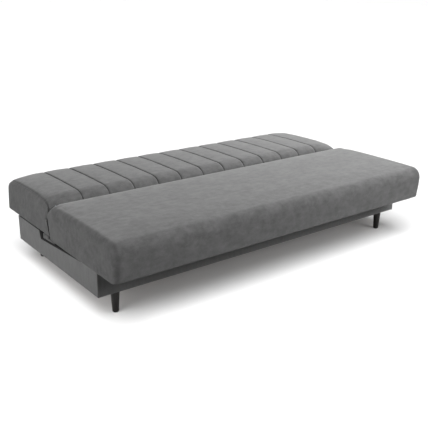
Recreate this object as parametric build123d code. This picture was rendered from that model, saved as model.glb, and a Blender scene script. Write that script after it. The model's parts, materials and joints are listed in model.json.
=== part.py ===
"""Click-clack sofa bed lying flat: bedding box on legs, smooth seat panel, channelled back panel.

Millimetres, +Z up, +X along the sofa, the seat's front towards -Y.
The origin is on the floor, under the middle of the whole bed.
"""
import math
import os

from build123d import *

# Overall sizes of the bed
SOFA_LENGTH = 1920.0
SEAT_DEPTH = 613.0
BACK_DEPTH = 469.0
FOLD_GAP = 10.0
SEAT_TOP = 390.0
BACK_ABOVE_SEAT = 14.0
SEAT_UNDERSIDE = 220.0
BACK_UNDERSIDE = 233.0

# Seat panel form
SEAT_CROWN = 4.0
SEAT_FRONT_ROUND = 52.0
SEAT_REAR_ROUND = 46.0
SEAT_END_ROUND = 30.0
SEAT_CORNER_ROUND = 26.0
SEAT_REAR_CORNER = 12.0
SEAT_FRONT_TUCK = 10.0

# Back panel form
CHANNEL_COUNT = 11
CHANNEL_PITCH = 140.5
CHANNEL_DEPTH = 6.0
CHANNEL_SHOULDER = 20.0
CHANNEL_SHOULDER_DEPTH = 2.6
CHANNEL_FRONT_DEPTH = 2.0
BACK_NOSE_ROUND = 60.0
BACK_REAR_ROUND = 48.0
BACK_REAR_FALL = 6.0
BACK_REAR_TUCK = 4.0
BACK_END_ROUND = 28.0
BACK_CROWN = 2.0

# Upholstery layers
SEAT_COVER = 8.0
BACK_QUILT = 12.0
FOLD_FACE_COVER = 4.0
CORE_BEVEL = 44.0
LAYER_GAP = 0.3
FELT = 3.0
DUST_COVER = 1.5

# Timber frames inside the two panels
RAIL_THICK = 25.0
SEAT_RAIL_HEIGHT = 62.0
BACK_RAIL_HEIGHT = 56.0
PANEL_PADDING = 32.0
SLAT_COUNT = 3
SLAT_WIDTH = 50.0
SLAT_THICK = 20.0

# Elastic webbing over the frames
WEBBING_COUNT = 12
WEBBING_WIDTH = 60.0
WEBBING_THICK = 2.5

# Bedding box
BOX_END_SETBACK = 4.0
BOX_FRONT_SETBACK = 168.0
BOX_REAR_SETBACK = 114.0
BOX_BOARD = 18.0
BOX_FABRIC = 3.0
BOX_FRONT_TOP = 218.0
BOX_FRONT_FLAT = 110.0
BOX_LOW_TOP = 187.0
BOX_REAR_TOP = 227.0
BOX_STEP_BEHIND_FOLD = 102.0
BOX_STEP_SLANT = 14.0
FRONT_PANEL_DROP = 5.0
FLOOR_BOARD = 4.0
BATTEN_COUNT = 4
BATTEN_WIDTH = 60.0
CORNER_BLOCK_LENGTH = 150.0
CORNER_BLOCK_DEPTH = 120.0

# Legs
LEG_HEIGHT = 103.0
LEG_TOP_RADIUS = 20.0
LEG_FOOT_RADIUS = 14.5
LEG_FOOT_EDGE = 1.5
LEG_END_INSET = 96.0
LEG_FRONT_INSET = 30.0
LEG_REAR_INSET = 44.0
GLIDE_THICK = 3.0
GLIDE_RADIUS = 12.0
STUD_RADIUS = 4.0
STUD_IN_LEG = 32.0
INSERT_RADIUS = 6.0
INSERT_FLANGE_RADIUS = 8.5
INSERT_FLANGE = 1.5

# Rear ledge under the seat
LEDGE_REACH = 56.0
LEDGE_BOTTOM = 213.5
LEDGE_TOP = 231.0
LEDGE_TONGUE = 60.0
LEDGE_END_INSET = 4.0

# Hinges at the two ends of the fold
HINGE_BELOW_SEAT_TOP = 24.0
PIN_RADIUS = 4.0
RUNNING_GAP = 0.05
EYE_RADIUS = 7.5
KNUCKLE = 22.0
KNUCKLE_GAP = 0.6
HINGE_END_INSET = 47.0
STRAP_THICK = 5.5
STRAP_NEAR_FACE = 5.5
STRAP_LENGTH = 104.0
POST_THICK = 6.0
POST_SHOULDER = 34.0
BRACKET_ABOVE_FLOOR = 7.0
FLANGE_THICK = 5.0
FLANGE_DEPTH = 64.0
FLANGE_TOP = 186.0
PIN_HEAD_RADIUS = 6.5
PIN_HEAD = 3.0
CLIP_THICK = 1.2
CLIP_SEAT = 0.8
PIN_TAIL = 2.5
POCKET_GAP = 0.8

# Fasteners
FASTENER_GAP = 0.1
LEAF_SCREW_RADIUS = 2.5
LEAF_SCREW_HEAD = 4.6
LEAF_SCREW_LENGTH = 22.0
LEAF_SCREW_ROWS = (38.0, 84.0)
BRACKET_BOLT_RADIUS = 3.0
BRACKET_BOLT_HEAD = 5.5
BRACKET_BOLT_HEAD_HEIGHT = 3.5
PANEL_SCREW_RADIUS = 2.5
PANEL_SCREW_HEAD = 4.5
PANEL_SCREW_HEAD_HEIGHT = 3.0
PANEL_SCREW_LENGTH = 50.0
PANEL_SCREW_INSET = 25.0

# Rubber bumpers
BUMPER_RADIUS = 7.0
BUMPER_GAP = 0.4
BUMPER_FROM_EDGE = 40.0

# Places worked out from the sizes above
HALF_LENGTH = SOFA_LENGTH / 2
FOLD_Y = (SEAT_DEPTH - BACK_DEPTH) / 2
SEAT_REAR = FOLD_Y - FOLD_GAP / 2
SEAT_FRONT = SEAT_REAR - SEAT_DEPTH
BACK_FRONT = FOLD_Y + FOLD_GAP / 2
BACK_REAR = BACK_FRONT + BACK_DEPTH
BACK_TOP = SEAT_TOP + BACK_ABOVE_SEAT
BOX_HALF = HALF_LENGTH - BOX_END_SETBACK
BOX_FRONT = SEAT_FRONT + BOX_FRONT_SETBACK
BOX_REAR = BACK_REAR - BOX_REAR_SETBACK
BOARD_OUTER = BOX_HALF - BOX_FABRIC
BOARD_INNER = BOARD_OUTER - BOX_BOARD
BOARD_FRONT = BOX_FRONT + BOX_FABRIC
BOARD_REAR = BOX_REAR - BOX_FABRIC
INNER_FRONT = BOARD_FRONT + BOX_BOARD
INNER_REAR = BOARD_REAR - BOX_BOARD
BLOCK_TOP = LEG_HEIGHT + BOX_BOARD
BRACKET_BOTTOM = BLOCK_TOP + FLOOR_BOARD + BRACKET_ABOVE_FLOOR
SIDES = {"left": -1, "right": 1}

# Hinge knuckles from the outer end inwards: seat leaf, bracket, back leaf
KNUCKLE_STEP = KNUCKLE + KNUCKLE_GAP
HINGE_OUTER = HALF_LENGTH - HINGE_END_INSET
SEAT_KNUCKLE = (HINGE_OUTER - KNUCKLE, HINGE_OUTER)
POST_KNUCKLE = (SEAT_KNUCKLE[0] - KNUCKLE_STEP, SEAT_KNUCKLE[1] - KNUCKLE_STEP)
BACK_KNUCKLE = (POST_KNUCKLE[0] - KNUCKLE_STEP, POST_KNUCKLE[1] - KNUCKLE_STEP)
HINGE_INNER = BACK_KNUCKLE[0]
HINGE_HEIGHT = SEAT_TOP - HINGE_BELOW_SEAT_TOP
STRAP_FAR_FACE = STRAP_NEAR_FACE + STRAP_THICK


def block(x_range, y_range, z_range):
    """A box between two limits on each axis, in either order."""
    spans = [sorted(pair) for pair in (x_range, y_range, z_range)]
    low = [span[0] for span in spans]
    size = [span[1] - span[0] for span in spans]
    return Pos(*low) * Box(*size, align=(Align.MIN, Align.MIN, Align.MIN))


def rod(start, axis, radius, length):
    """A round bar from a point along an axis."""
    return extrude(Plane(origin=start, z_dir=axis) * Circle(radius), length)


def cone(start, axis, radius_start, radius_end, length):
    """A tapered round bar from a point along an axis."""
    near = Plane(origin=start, z_dir=axis)
    return loft([near * Circle(radius_start), near.offset(length) * Circle(radius_end)])


def both_sides(span, side):
    """A span of X measured outwards from the middle, on the left or the right side."""
    return tuple(side * value for value in span)


def section(x, steps):
    """A closed face across the sofa at x, from (y, z) corners and three-point arcs."""
    edges = []
    for step in steps:
        points = [Vector(x, y, z) for y, z in step]
        if len(points) == 2:
            edges.append(Edge.make_line(*points))
        else:
            edges.append(Edge.make_three_point_arc(*points))
    return Face(Wire(edges))


def quarter(centre, radius, start):
    """Three points of a quarter turn, clockwise, from a start angle in degrees."""
    angles = [math.radians(start - turn) for turn in (0, 45, 90)]
    return [(centre[0] + radius * math.cos(a), centre[1] + radius * math.sin(a)) for a in angles]


def tucked(bottom, top):
    """An arc up a face that is drawn in at the bottom and upright at the top."""
    tuck = bottom[0] - top[0]
    height = top[1] - bottom[1]
    radius = (tuck ** 2 + height ** 2) / (2 * tuck)
    half = math.asin(height / radius) / 2 if radius > 0 else math.asin(height / -radius) / -2
    middle = (top[0] + radius * (1 - math.cos(half)), top[1] - abs(radius * math.sin(half)))
    return [bottom, middle, top]


def round_inset(radius, distance):
    """How far a rounded edge has drawn in, at a distance from the end plane."""
    if distance >= radius:
        return 0.0
    return radius - math.sqrt(radius ** 2 - (radius - distance) ** 2)


def seat_section(x, end_distance):
    """The seat panel's cross-section at x, some way from its end plane."""
    top_in = round_inset(SEAT_END_ROUND, end_distance)
    front = SEAT_FRONT + round_inset(SEAT_CORNER_ROUND, end_distance)
    rear = SEAT_REAR - round_inset(SEAT_REAR_CORNER, end_distance)
    top = SEAT_TOP - top_in
    front_round = SEAT_FRONT_ROUND - top_in * (1 - 1 / 4)
    rear_round = SEAT_REAR_ROUND - top_in * (1 - 1 / 4)
    toe = (front + SEAT_FRONT_TUCK, SEAT_UNDERSIDE)
    front_top = (front, top - front_round)
    top_front = (front + front_round, top)
    top_rear = (rear - rear_round, top)
    crest = ((top_front[0] + top_rear[0]) / 2, top + SEAT_CROWN)
    heel = (rear, SEAT_UNDERSIDE)
    return section(x, [
        tucked(toe, front_top),
        quarter((top_front[0], front_top[1]), front_round, 180),
        [top_front, crest, top_rear],
        quarter((top_rear[0], top - rear_round), rear_round, 90),
        [(rear, top - rear_round), heel],
        [heel, toe],
    ])


def end_stations(radius):
    """Distances from the end plane at which a rounded end is drawn."""
    return [radius * (1 - math.cos(math.radians(turn))) for turn in (0, 22, 45, 67, 90)]


def seat_form():
    """The seat panel's rounded block."""
    stations = end_stations(max(SEAT_END_ROUND, SEAT_CORNER_ROUND))
    shoulder = HALF_LENGTH - stations[-1]
    form = loft([seat_section(x, stations[-1]) for x in (-shoulder, shoulder)], ruled=True)
    for side in SIDES.values():
        form += loft([seat_section(side * (HALF_LENGTH - e), e) for e in reversed(stations)])
    return form


def back_section(x, inset, end_distance):
    """The back panel's cross-section at x, drawn in by an inset where a groove is sewn."""
    end_in = round_inset(BACK_END_ROUND, end_distance)
    front = BACK_FRONT + inset * CHANNEL_FRONT_DEPTH / CHANNEL_DEPTH
    rear = BACK_REAR - inset - end_in
    top = BACK_TOP - inset - end_in
    nose_round = BACK_NOSE_ROUND - inset
    rear_round = BACK_REAR_ROUND - inset
    rear_top = top - BACK_REAR_FALL
    nose = (front + nose_round, top)
    shoulder = (rear - rear_round, rear_top)
    crest = ((nose[0] + shoulder[0]) / 2, (top + rear_top) / 2 + BACK_CROWN)
    heel = (rear - BACK_REAR_TUCK, BACK_UNDERSIDE)
    toe = (front, BACK_UNDERSIDE)
    return section(x, [
        [toe, (front, top - nose_round)],
        quarter((nose[0], top - nose_round), nose_round, 180),
        [nose, crest, shoulder],
        quarter((shoulder[0], rear_top - rear_round), rear_round, 90),
        list(reversed(tucked(heel, (rear, rear_top - rear_round)))),
        [heel, toe],
    ])


def groove_places():
    """X of every sewn groove across the back."""
    first = -CHANNEL_PITCH * CHANNEL_COUNT / 2
    return [first + CHANNEL_PITCH * index for index in range(CHANNEL_COUNT + 1)]


def back_form():
    """The back panel with a soft crest between each pair of sewn grooves."""
    grooves = groove_places()
    far = BACK_END_ROUND
    form = None
    for left, right in zip(grooves, grooves[1:]):
        stations = [(left, CHANNEL_DEPTH), (left + CHANNEL_SHOULDER, CHANNEL_SHOULDER_DEPTH)]
        stations += [((left + right) / 2, 0.0)]
        stations += [(right - CHANNEL_SHOULDER, CHANNEL_SHOULDER_DEPTH), (right, CHANNEL_DEPTH)]
        channel = loft([back_section(x, inset, far) for x, inset in stations])
        form = channel if form is None else form + channel
    last = grooves[-1]
    crest = HALF_LENGTH - BACK_END_ROUND
    for side in SIDES.values():
        inner = [(last, CHANNEL_DEPTH), (last + CHANNEL_SHOULDER, CHANNEL_SHOULDER_DEPTH)]
        inner += [((last + crest) / 2, 0.0), (crest, 0.0)]
        form += loft([back_section(side * x, inset, far) for x, inset in inner])
        slices = []
        for distance in reversed(end_stations(BACK_END_ROUND)):
            slices.append(back_section(side * (HALF_LENGTH - distance), 0.0, distance))
        form += loft(slices)
    return form


def foam_core(x_half, y_range, z_range, bevel_corners):
    """A foam block with its upper edges, and its front corners if asked, bevelled in flat faces."""
    core = block((-x_half, x_half), y_range, z_range)
    edges = core.faces().sort_by(Axis.Z)[-1].edges()
    if bevel_corners:
        edges += core.faces().sort_by(Axis.Y)[0].edges().filter_by(Axis.Z)
    return chamfer(edges, CORE_BEVEL)


def box_side_outline():
    """The stepped and sloping outline of the bedding box's side, as (y, z) corners."""
    step = FOLD_Y + BOX_STEP_BEHIND_FOLD
    return [
        (BOARD_FRONT, LEG_HEIGHT),
        (BOARD_FRONT, BOX_FRONT_TOP),
        (BOARD_FRONT + BOX_FRONT_FLAT, BOX_FRONT_TOP),
        (step, BOX_LOW_TOP),
        (step + BOX_STEP_SLANT, BOX_REAR_TOP),
        (BOARD_REAR, BOX_REAR_TOP),
        (BOARD_REAR, LEG_HEIGHT),
    ]


def plate_along_x(outline, x_range):
    """A plate with an outline in Y and Z, between two places on X."""
    low, high = sorted(x_range)
    points = [Vector(low, y, z) for y, z in outline]
    edges = [Edge.make_line(a, b) for a, b in zip(points, points[1:] + points[:1])]
    return extrude(Face(Wire(edges)), high - low, dir=(1, 0, 0))


def panel_screw_places():
    """Where a screw goes through a side board into an end of the front or rear panel."""
    places = []
    for y in (BOARD_FRONT + BOX_BOARD / 2, BOARD_REAR - BOX_BOARD / 2):
        for z in (LEG_HEIGHT + PANEL_SCREW_INSET, BOX_FRONT_TOP - FRONT_PANEL_DROP - PANEL_SCREW_INSET):
            places.append((y, z))
    return places


def panel_screw(side, y, z, spare):
    """A panel screw, or its hole when some spare room is asked for."""
    start = (side * BOARD_OUTER, y, z)
    inwards = (-side, 0, 0)
    shank = rod(start, inwards, PANEL_SCREW_RADIUS + spare, PANEL_SCREW_LENGTH + spare)
    return shank + rod(start, inwards, PANEL_SCREW_HEAD + spare, PANEL_SCREW_HEAD_HEIGHT + spare)


def flange_bolt_places():
    """Where the bolts of a hinge bracket's flange go through the side board."""
    y_near = FOLD_Y + POST_THICK / 2
    rows = [BRACKET_BOTTOM + (FLANGE_TOP - BRACKET_BOTTOM) * share for share in (1 / 4, 3 / 4)]
    columns = [y_near + FLANGE_DEPTH * share for share in (1 / 3, 4 / 5)]
    return [(y, z) for y in columns for z in rows]


def bracket_bolt(side, y, z, spare):
    """A hinge bracket's bolt, or its hole when some spare room is asked for."""
    head_face = BOARD_INNER - FLANGE_THICK
    start = (side * head_face, y, z)
    outwards = (side, 0, 0)
    shank = rod(start, outwards, BRACKET_BOLT_RADIUS + spare, FLANGE_THICK + BOX_BOARD)
    if spare:
        return shank
    return shank + rod(start, (-side, 0, 0), BRACKET_BOLT_HEAD, BRACKET_BOLT_HEAD_HEIGHT)


def box_pieces():
    """The bedding box's boards, floor and fabric."""
    pieces = {}
    for name, side in SIDES.items():
        board = plate_along_x(box_side_outline(), both_sides((BOARD_INNER, BOARD_OUTER), side))
        for y, z in panel_screw_places():
            board -= panel_screw(side, y, z, FASTENER_GAP)
        for y, z in flange_bolt_places():
            board -= bracket_bolt(side, y, z, FASTENER_GAP)
        pieces[f"base_side_{name}"] = board
        fabric = plate_along_x(box_side_outline(), both_sides((BOARD_OUTER, BOX_HALF), side))
        pieces[f"base_side_cover_{name}"] = fabric

    across = (-BOARD_INNER, BOARD_INNER)
    whole = (-BOX_HALF, BOX_HALF)
    front_top = BOX_FRONT_TOP - FRONT_PANEL_DROP
    front = block(across, (BOARD_FRONT, INNER_FRONT), (LEG_HEIGHT, front_top))
    rear = block(across, (INNER_REAR, BOARD_REAR), (LEG_HEIGHT, BOX_REAR_TOP - FRONT_PANEL_DROP))
    for side in SIDES.values():
        for y, z in panel_screw_places():
            hole = panel_screw(side, y, z, FASTENER_GAP)
            front -= hole
            rear -= hole
    pieces["base_front_panel"] = front
    pieces["base_rear_panel"] = rear
    pieces["base_front_cover"] = block(whole, (BOX_FRONT, BOARD_FRONT), (LEG_HEIGHT, BOX_FRONT_TOP))
    pieces["base_rear_cover"] = block(whole, (BOARD_REAR, BOX_REAR), (LEG_HEIGHT, BOX_REAR_TOP))

    depth = (INNER_FRONT, INNER_REAR)
    pieces["base_floor"] = block(across, depth, (BLOCK_TOP, BLOCK_TOP + FLOOR_BOARD))
    clear = BOARD_INNER - CORNER_BLOCK_LENGTH
    battens = []
    for index in range(BATTEN_COUNT):
        x = -clear + 2 * clear * (index + 1) / (BATTEN_COUNT + 1)
        batten = block((x - BATTEN_WIDTH / 2, x + BATTEN_WIDTH / 2), depth, (LEG_HEIGHT, BLOCK_TOP))
        battens.append(batten)
    pieces["base_floor_battens"] = Compound(children=battens)

    screws = [panel_screw(side, y, z, 0) for side in SIDES.values() for y, z in panel_screw_places()]
    pieces["panel_screws"] = Compound(children=screws)
    return pieces


def leg_places():
    """Name, side and centre of each leg."""
    rows = {"front": BOX_FRONT + LEG_FRONT_INSET, "rear": BOX_REAR - LEG_REAR_INSET}
    places = []
    for row, y in rows.items():
        for name, side in SIDES.items():
            places.append((f"{row}_{name}_leg", row, side * (BOX_HALF - LEG_END_INSET), y))
    return places


def leg_pieces():
    """Turned legs with their glides, studs, threaded inserts and corner blocks."""
    pieces = {}
    blocks = []
    glides = []
    studs = []
    inserts = []
    up = (0, 0, 1)
    for name, row, x, y in leg_places():
        leg = cone((x, y, GLIDE_THICK), up, LEG_FOOT_RADIUS, LEG_TOP_RADIUS, LEG_HEIGHT - GLIDE_THICK)
        leg = chamfer(leg.faces().sort_by(Axis.Z)[0].edges(), LEG_FOOT_EDGE)
        leg -= rod((x, y, LEG_HEIGHT - STUD_IN_LEG), up, STUD_RADIUS + FASTENER_GAP, STUD_IN_LEG)
        pieces[name] = leg
        glides.append(rod((x, y, 0), up, GLIDE_RADIUS, GLIDE_THICK))
        stud_length = STUD_IN_LEG + BOX_BOARD - INSERT_FLANGE
        studs.append(rod((x, y, LEG_HEIGHT - STUD_IN_LEG), up, STUD_RADIUS, stud_length))

        side = math.copysign(1, x)
        along = both_sides((BOARD_INNER - CORNER_BLOCK_LENGTH, BOARD_INNER), side)
        if row == "front":
            across = (INNER_FRONT, INNER_FRONT + CORNER_BLOCK_DEPTH)
        else:
            across = (INNER_REAR - CORNER_BLOCK_DEPTH, INNER_REAR)
        insert = rod((x, y, LEG_HEIGHT), up, INSERT_RADIUS, BOX_BOARD)
        insert += rod((x, y, BLOCK_TOP - INSERT_FLANGE), up, INSERT_FLANGE_RADIUS, INSERT_FLANGE)
        corner = block(along, across, (LEG_HEIGHT, BLOCK_TOP)) - insert
        blocks.append(corner)
        stud_hole = rod((x, y, LEG_HEIGHT), up, STUD_RADIUS + FASTENER_GAP, BOX_BOARD)
        inserts.append(insert - stud_hole)
    pieces["base_corner_blocks"] = Compound(children=blocks)
    pieces["foot_glides"] = Compound(children=glides)
    pieces["leg_studs"] = Compound(children=studs)
    pieces["leg_inserts"] = Compound(children=inserts)
    return pieces


def eye(span, side):
    """A hinge eye around the pivot, over a span of X on one side."""
    length = abs(span[1] - span[0])
    start = (side * span[0], FOLD_Y, HINGE_HEIGHT)
    return rod(start, (side, 0, 0), EYE_RADIUS, length)


def eye_bore(span, side):
    """The hole of a hinge eye, with its running clearance."""
    length = abs(span[1] - span[0])
    start = (side * span[0], FOLD_Y, HINGE_HEIGHT)
    return rod(start, (side, 0, 0), PIN_RADIUS + RUNNING_GAP, length)


def leaf_strap(span, side, towards):
    """The flat of a hinge leaf, in the seat (-1) or in the back (+1)."""
    near = FOLD_Y + towards * STRAP_NEAR_FACE
    far = FOLD_Y + towards * STRAP_FAR_FACE
    return block(both_sides(span, side), (near, far), (HINGE_HEIGHT - STRAP_LENGTH, HINGE_HEIGHT))


def leaf_pocket(span, side, towards):
    """The room that a hinge leaf needs in the panel that carries it."""
    wide = (span[0] - POCKET_GAP, span[1] + POCKET_GAP)
    far = FOLD_Y + towards * STRAP_FAR_FACE
    bottom = HINGE_HEIGHT - STRAP_LENGTH - POCKET_GAP
    top = HINGE_HEIGHT + EYE_RADIUS + POCKET_GAP
    return block(both_sides(wide, side), (FOLD_Y, far), (bottom, top))


def leaf_screws(span, side, towards, spare):
    """The flush screws of a hinge leaf, or their holes when some spare room is asked for."""
    x = side * (span[0] + span[1]) / 2
    shapes = []
    for drop in LEAF_SCREW_ROWS:
        start = (x, FOLD_Y + towards * STRAP_NEAR_FACE, HINGE_HEIGHT - drop)
        inwards = (0, towards, 0)
        shank = rod(start, inwards, LEAF_SCREW_RADIUS + spare, LEAF_SCREW_LENGTH + spare)
        sink = LEAF_SCREW_HEAD - LEAF_SCREW_RADIUS
        head = cone(start, inwards, LEAF_SCREW_HEAD + spare, LEAF_SCREW_RADIUS + spare, sink)
        shapes.append(shank + head)
    return shapes


def hinge_leaf(span, side, towards):
    """A hinge leaf: an eye and a flat strap with its screw holes."""
    leaf = eye(span, side) + leaf_strap(span, side, towards) - eye_bore(span, side)
    for hole in leaf_screws(span, side, towards, FASTENER_GAP):
        leaf -= hole
    return leaf


def hinge_bracket(side):
    """The bracket on the bedding box: a flange, a post in the fold gap and the middle eye."""
    post_y = (FOLD_Y - POST_THICK / 2, FOLD_Y + POST_THICK / 2)
    shoulder = HINGE_HEIGHT - POST_SHOULDER
    wide = block(both_sides((HINGE_INNER, BOARD_INNER), side), post_y, (BRACKET_BOTTOM, FLANGE_TOP))
    tall = block(both_sides((HINGE_INNER, HINGE_OUTER), side), post_y, (FLANGE_TOP, shoulder))
    neck = block(both_sides(POST_KNUCKLE, side), post_y, (shoulder, HINGE_HEIGHT))
    flange_y = (post_y[0], post_y[1] + FLANGE_DEPTH)
    flange_x = both_sides((BOARD_INNER - FLANGE_THICK, BOARD_INNER), side)
    flange = block(flange_x, flange_y, (BRACKET_BOTTOM, FLANGE_TOP))
    bracket = wide + tall + neck + flange + eye(POST_KNUCKLE, side)
    bracket -= eye_bore(POST_KNUCKLE, side)
    for y, z in flange_bolt_places():
        bracket -= bracket_bolt(side, y, z, FASTENER_GAP)
    return bracket


def pivot_pin(side):
    """The hinge pin: a head at its inner end and a groove for the clip at its outer end."""
    inner = HINGE_INNER - KNUCKLE_GAP
    clip_at = HINGE_OUTER + KNUCKLE_GAP
    tip = clip_at + CLIP_THICK + PIN_TAIL
    outwards = (side, 0, 0)
    pin = rod((side * inner, FOLD_Y, HINGE_HEIGHT), outwards, PIN_RADIUS, tip - inner)
    pin += rod((side * inner, FOLD_Y, HINGE_HEIGHT), (-side, 0, 0), PIN_HEAD_RADIUS, PIN_HEAD)
    groove = clip_ring(side, PIN_RADIUS + 1)
    return pin - groove


def clip_ring(side, outer_radius):
    """A ring in the pin's clip groove, out to a radius."""
    start = (side * (HINGE_OUTER + KNUCKLE_GAP), FOLD_Y, HINGE_HEIGHT)
    outwards = (side, 0, 0)
    ring = rod(start, outwards, outer_radius, CLIP_THICK)
    return ring - rod(start, outwards, PIN_RADIUS - CLIP_SEAT, CLIP_THICK)


def pin_clip(side):
    """A spring clip that is open at the bottom so that it snaps over the pin."""
    mouth = PIN_RADIUS - CLIP_SEAT
    start = side * (HINGE_OUTER + KNUCKLE_GAP)
    opening = block(
        (start, start + side * CLIP_THICK),
        (FOLD_Y - mouth, FOLD_Y + mouth),
        (HINGE_HEIGHT - PIN_HEAD_RADIUS, HINGE_HEIGHT),
    )
    return clip_ring(side, PIN_HEAD_RADIUS) - opening


def hinge_pieces():
    """Both hinges, with their pins and fasteners."""
    pieces = {}
    clips = []
    bolts = []
    screws = {"seat": [], "back": []}
    for name, side in SIDES.items():
        pieces[f"hinge_bracket_{name}"] = hinge_bracket(side)
        pieces[f"pivot_pin_{name}"] = pivot_pin(side)
        pieces[f"seat_hinge_leaf_{name}"] = hinge_leaf(SEAT_KNUCKLE, side, -1)
        pieces[f"back_hinge_leaf_{name}"] = hinge_leaf(BACK_KNUCKLE, side, 1)
        clips.append(pin_clip(side))
        bolts += [bracket_bolt(side, y, z, 0) for y, z in flange_bolt_places()]
        screws["seat"] += leaf_screws(SEAT_KNUCKLE, side, -1, 0)
        screws["back"] += leaf_screws(BACK_KNUCKLE, side, 1, 0)
    pieces["pin_clips"] = Compound(children=clips)
    pieces["bracket_bolts"] = Compound(children=bolts)
    pieces["seat_leaf_screws"] = Compound(children=screws["seat"])
    pieces["back_leaf_screws"] = Compound(children=screws["back"])
    return pieces


def panel_frame(panel, x_half, y_range, bottom, height):
    """Rails, slats, webbing and felt of a seat or back panel, and the top of the stack."""
    top = bottom + height
    front, rear = y_range
    inner_y = (front + RAIL_THICK, rear - RAIL_THICK)
    pieces = {}
    pieces[f"{panel}_front_rail"] = block((-x_half, x_half), (front, inner_y[0]), (bottom, top))
    pieces[f"{panel}_rear_rail"] = block((-x_half, x_half), (inner_y[1], rear), (bottom, top))
    for name, side in SIDES.items():
        across = both_sides((x_half - RAIL_THICK, x_half), side)
        pieces[f"{panel}_{name}_rail"] = block(across, inner_y, (bottom, top))
    clear = x_half - RAIL_THICK
    slats = []
    for index in range(SLAT_COUNT):
        x = -clear + 2 * clear * (index + 1) / (SLAT_COUNT + 1)
        slats.append(block((x - SLAT_WIDTH / 2, x + SLAT_WIDTH / 2), inner_y, (bottom, bottom + SLAT_THICK)))
    pieces[f"{panel}_cross_slats"] = Compound(children=slats)
    strap_y = (front + RAIL_THICK / 2, rear - RAIL_THICK / 2)
    straps = []
    for index in range(WEBBING_COUNT):
        x = -clear + 2 * clear * (index + 1) / (WEBBING_COUNT + 1)
        across = (x - WEBBING_WIDTH / 2, x + WEBBING_WIDTH / 2)
        straps.append(block(across, strap_y, (top, top + WEBBING_THICK)))
    pieces[f"{panel}_webbing"] = Compound(children=straps)
    felt_bottom = top + WEBBING_THICK
    felt_top = felt_bottom + FELT
    pieces[f"{panel}_felt"] = block((-x_half, x_half), y_range, (felt_bottom, felt_top))
    return pieces, felt_top


def room_for_frame(x_half, y_range, bottom, top):
    """The hollow in the foam that holds a panel's frame."""
    wide = (-x_half - LAYER_GAP, x_half + LAYER_GAP)
    deep = (y_range[0] - LAYER_GAP, y_range[1] + LAYER_GAP)
    return block(wide, deep, (bottom, top + LAYER_GAP))


def cut_hinges(shape, span, towards):
    """Cut the hinge leaf pockets and screw holes out of a piece of a panel."""
    for side in SIDES.values():
        shape -= leaf_pocket(span, side, towards)
        for hole in leaf_screws(span, side, towards, FASTENER_GAP):
            shape -= hole
    return shape


def seat_pieces():
    """The seat panel: cover, foam, frame, dust cover and rear ledge."""
    core_half = HALF_LENGTH - SEAT_COVER
    core_y = (SEAT_FRONT + SEAT_FRONT_TUCK + SEAT_COVER, SEAT_REAR - FOLD_FACE_COVER)
    core_top = SEAT_TOP - SEAT_COVER
    frame_half = HALF_LENGTH - PANEL_PADDING
    frame_y = (SEAT_FRONT + SEAT_FRONT_TUCK + PANEL_PADDING, core_y[1] - 2 * LAYER_GAP)
    frame_bottom = SEAT_UNDERSIDE + DUST_COVER
    pieces, felt_top = panel_frame("seat", frame_half, frame_y, frame_bottom, SEAT_RAIL_HEIGHT)
    for node in ("seat_rear_rail", "seat_felt"):
        pieces[node] = cut_hinges(pieces[node], SEAT_KNUCKLE, -1)

    cover = seat_form() - foam_core(core_half, core_y, (SEAT_UNDERSIDE - SEAT_COVER, core_top), True)
    pieces["seat_cover"] = cut_hinges(cover, SEAT_KNUCKLE, -1)
    foam_y = (core_y[0] + LAYER_GAP, core_y[1] - LAYER_GAP)
    foam = foam_core(core_half - LAYER_GAP, foam_y, (frame_bottom, core_top - LAYER_GAP), True)
    foam -= room_for_frame(frame_half, (frame_y[0], SEAT_REAR), frame_bottom, felt_top)
    pieces["seat_foam"] = cut_hinges(foam, SEAT_KNUCKLE, -1)
    pieces["seat_dust_cover"] = block((-frame_half, frame_half), frame_y, (SEAT_UNDERSIDE, frame_bottom))

    ledge_half = HALF_LENGTH - LEDGE_END_INSET
    front_lip = FOLD_Y - POST_THICK / 2 - LAYER_GAP
    tongue_y = (front_lip - LEDGE_TONGUE, front_lip)
    ledge = block((-ledge_half, ledge_half), tongue_y, (LEDGE_BOTTOM, SEAT_UNDERSIDE - LAYER_GAP))
    lip_y = (front_lip, FOLD_Y + LEDGE_REACH)
    ledge += block((-ledge_half, ledge_half), lip_y, (LEDGE_BOTTOM, LEDGE_TOP))
    for side in SIDES.values():
        passage = (HINGE_INNER - POCKET_GAP, HINGE_OUTER + POCKET_GAP)
        ledge -= block(both_sides(passage, side), lip_y, (LEDGE_BOTTOM, LEDGE_TOP))
    pieces["seat_rear_ledge"] = ledge
    return pieces


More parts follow.
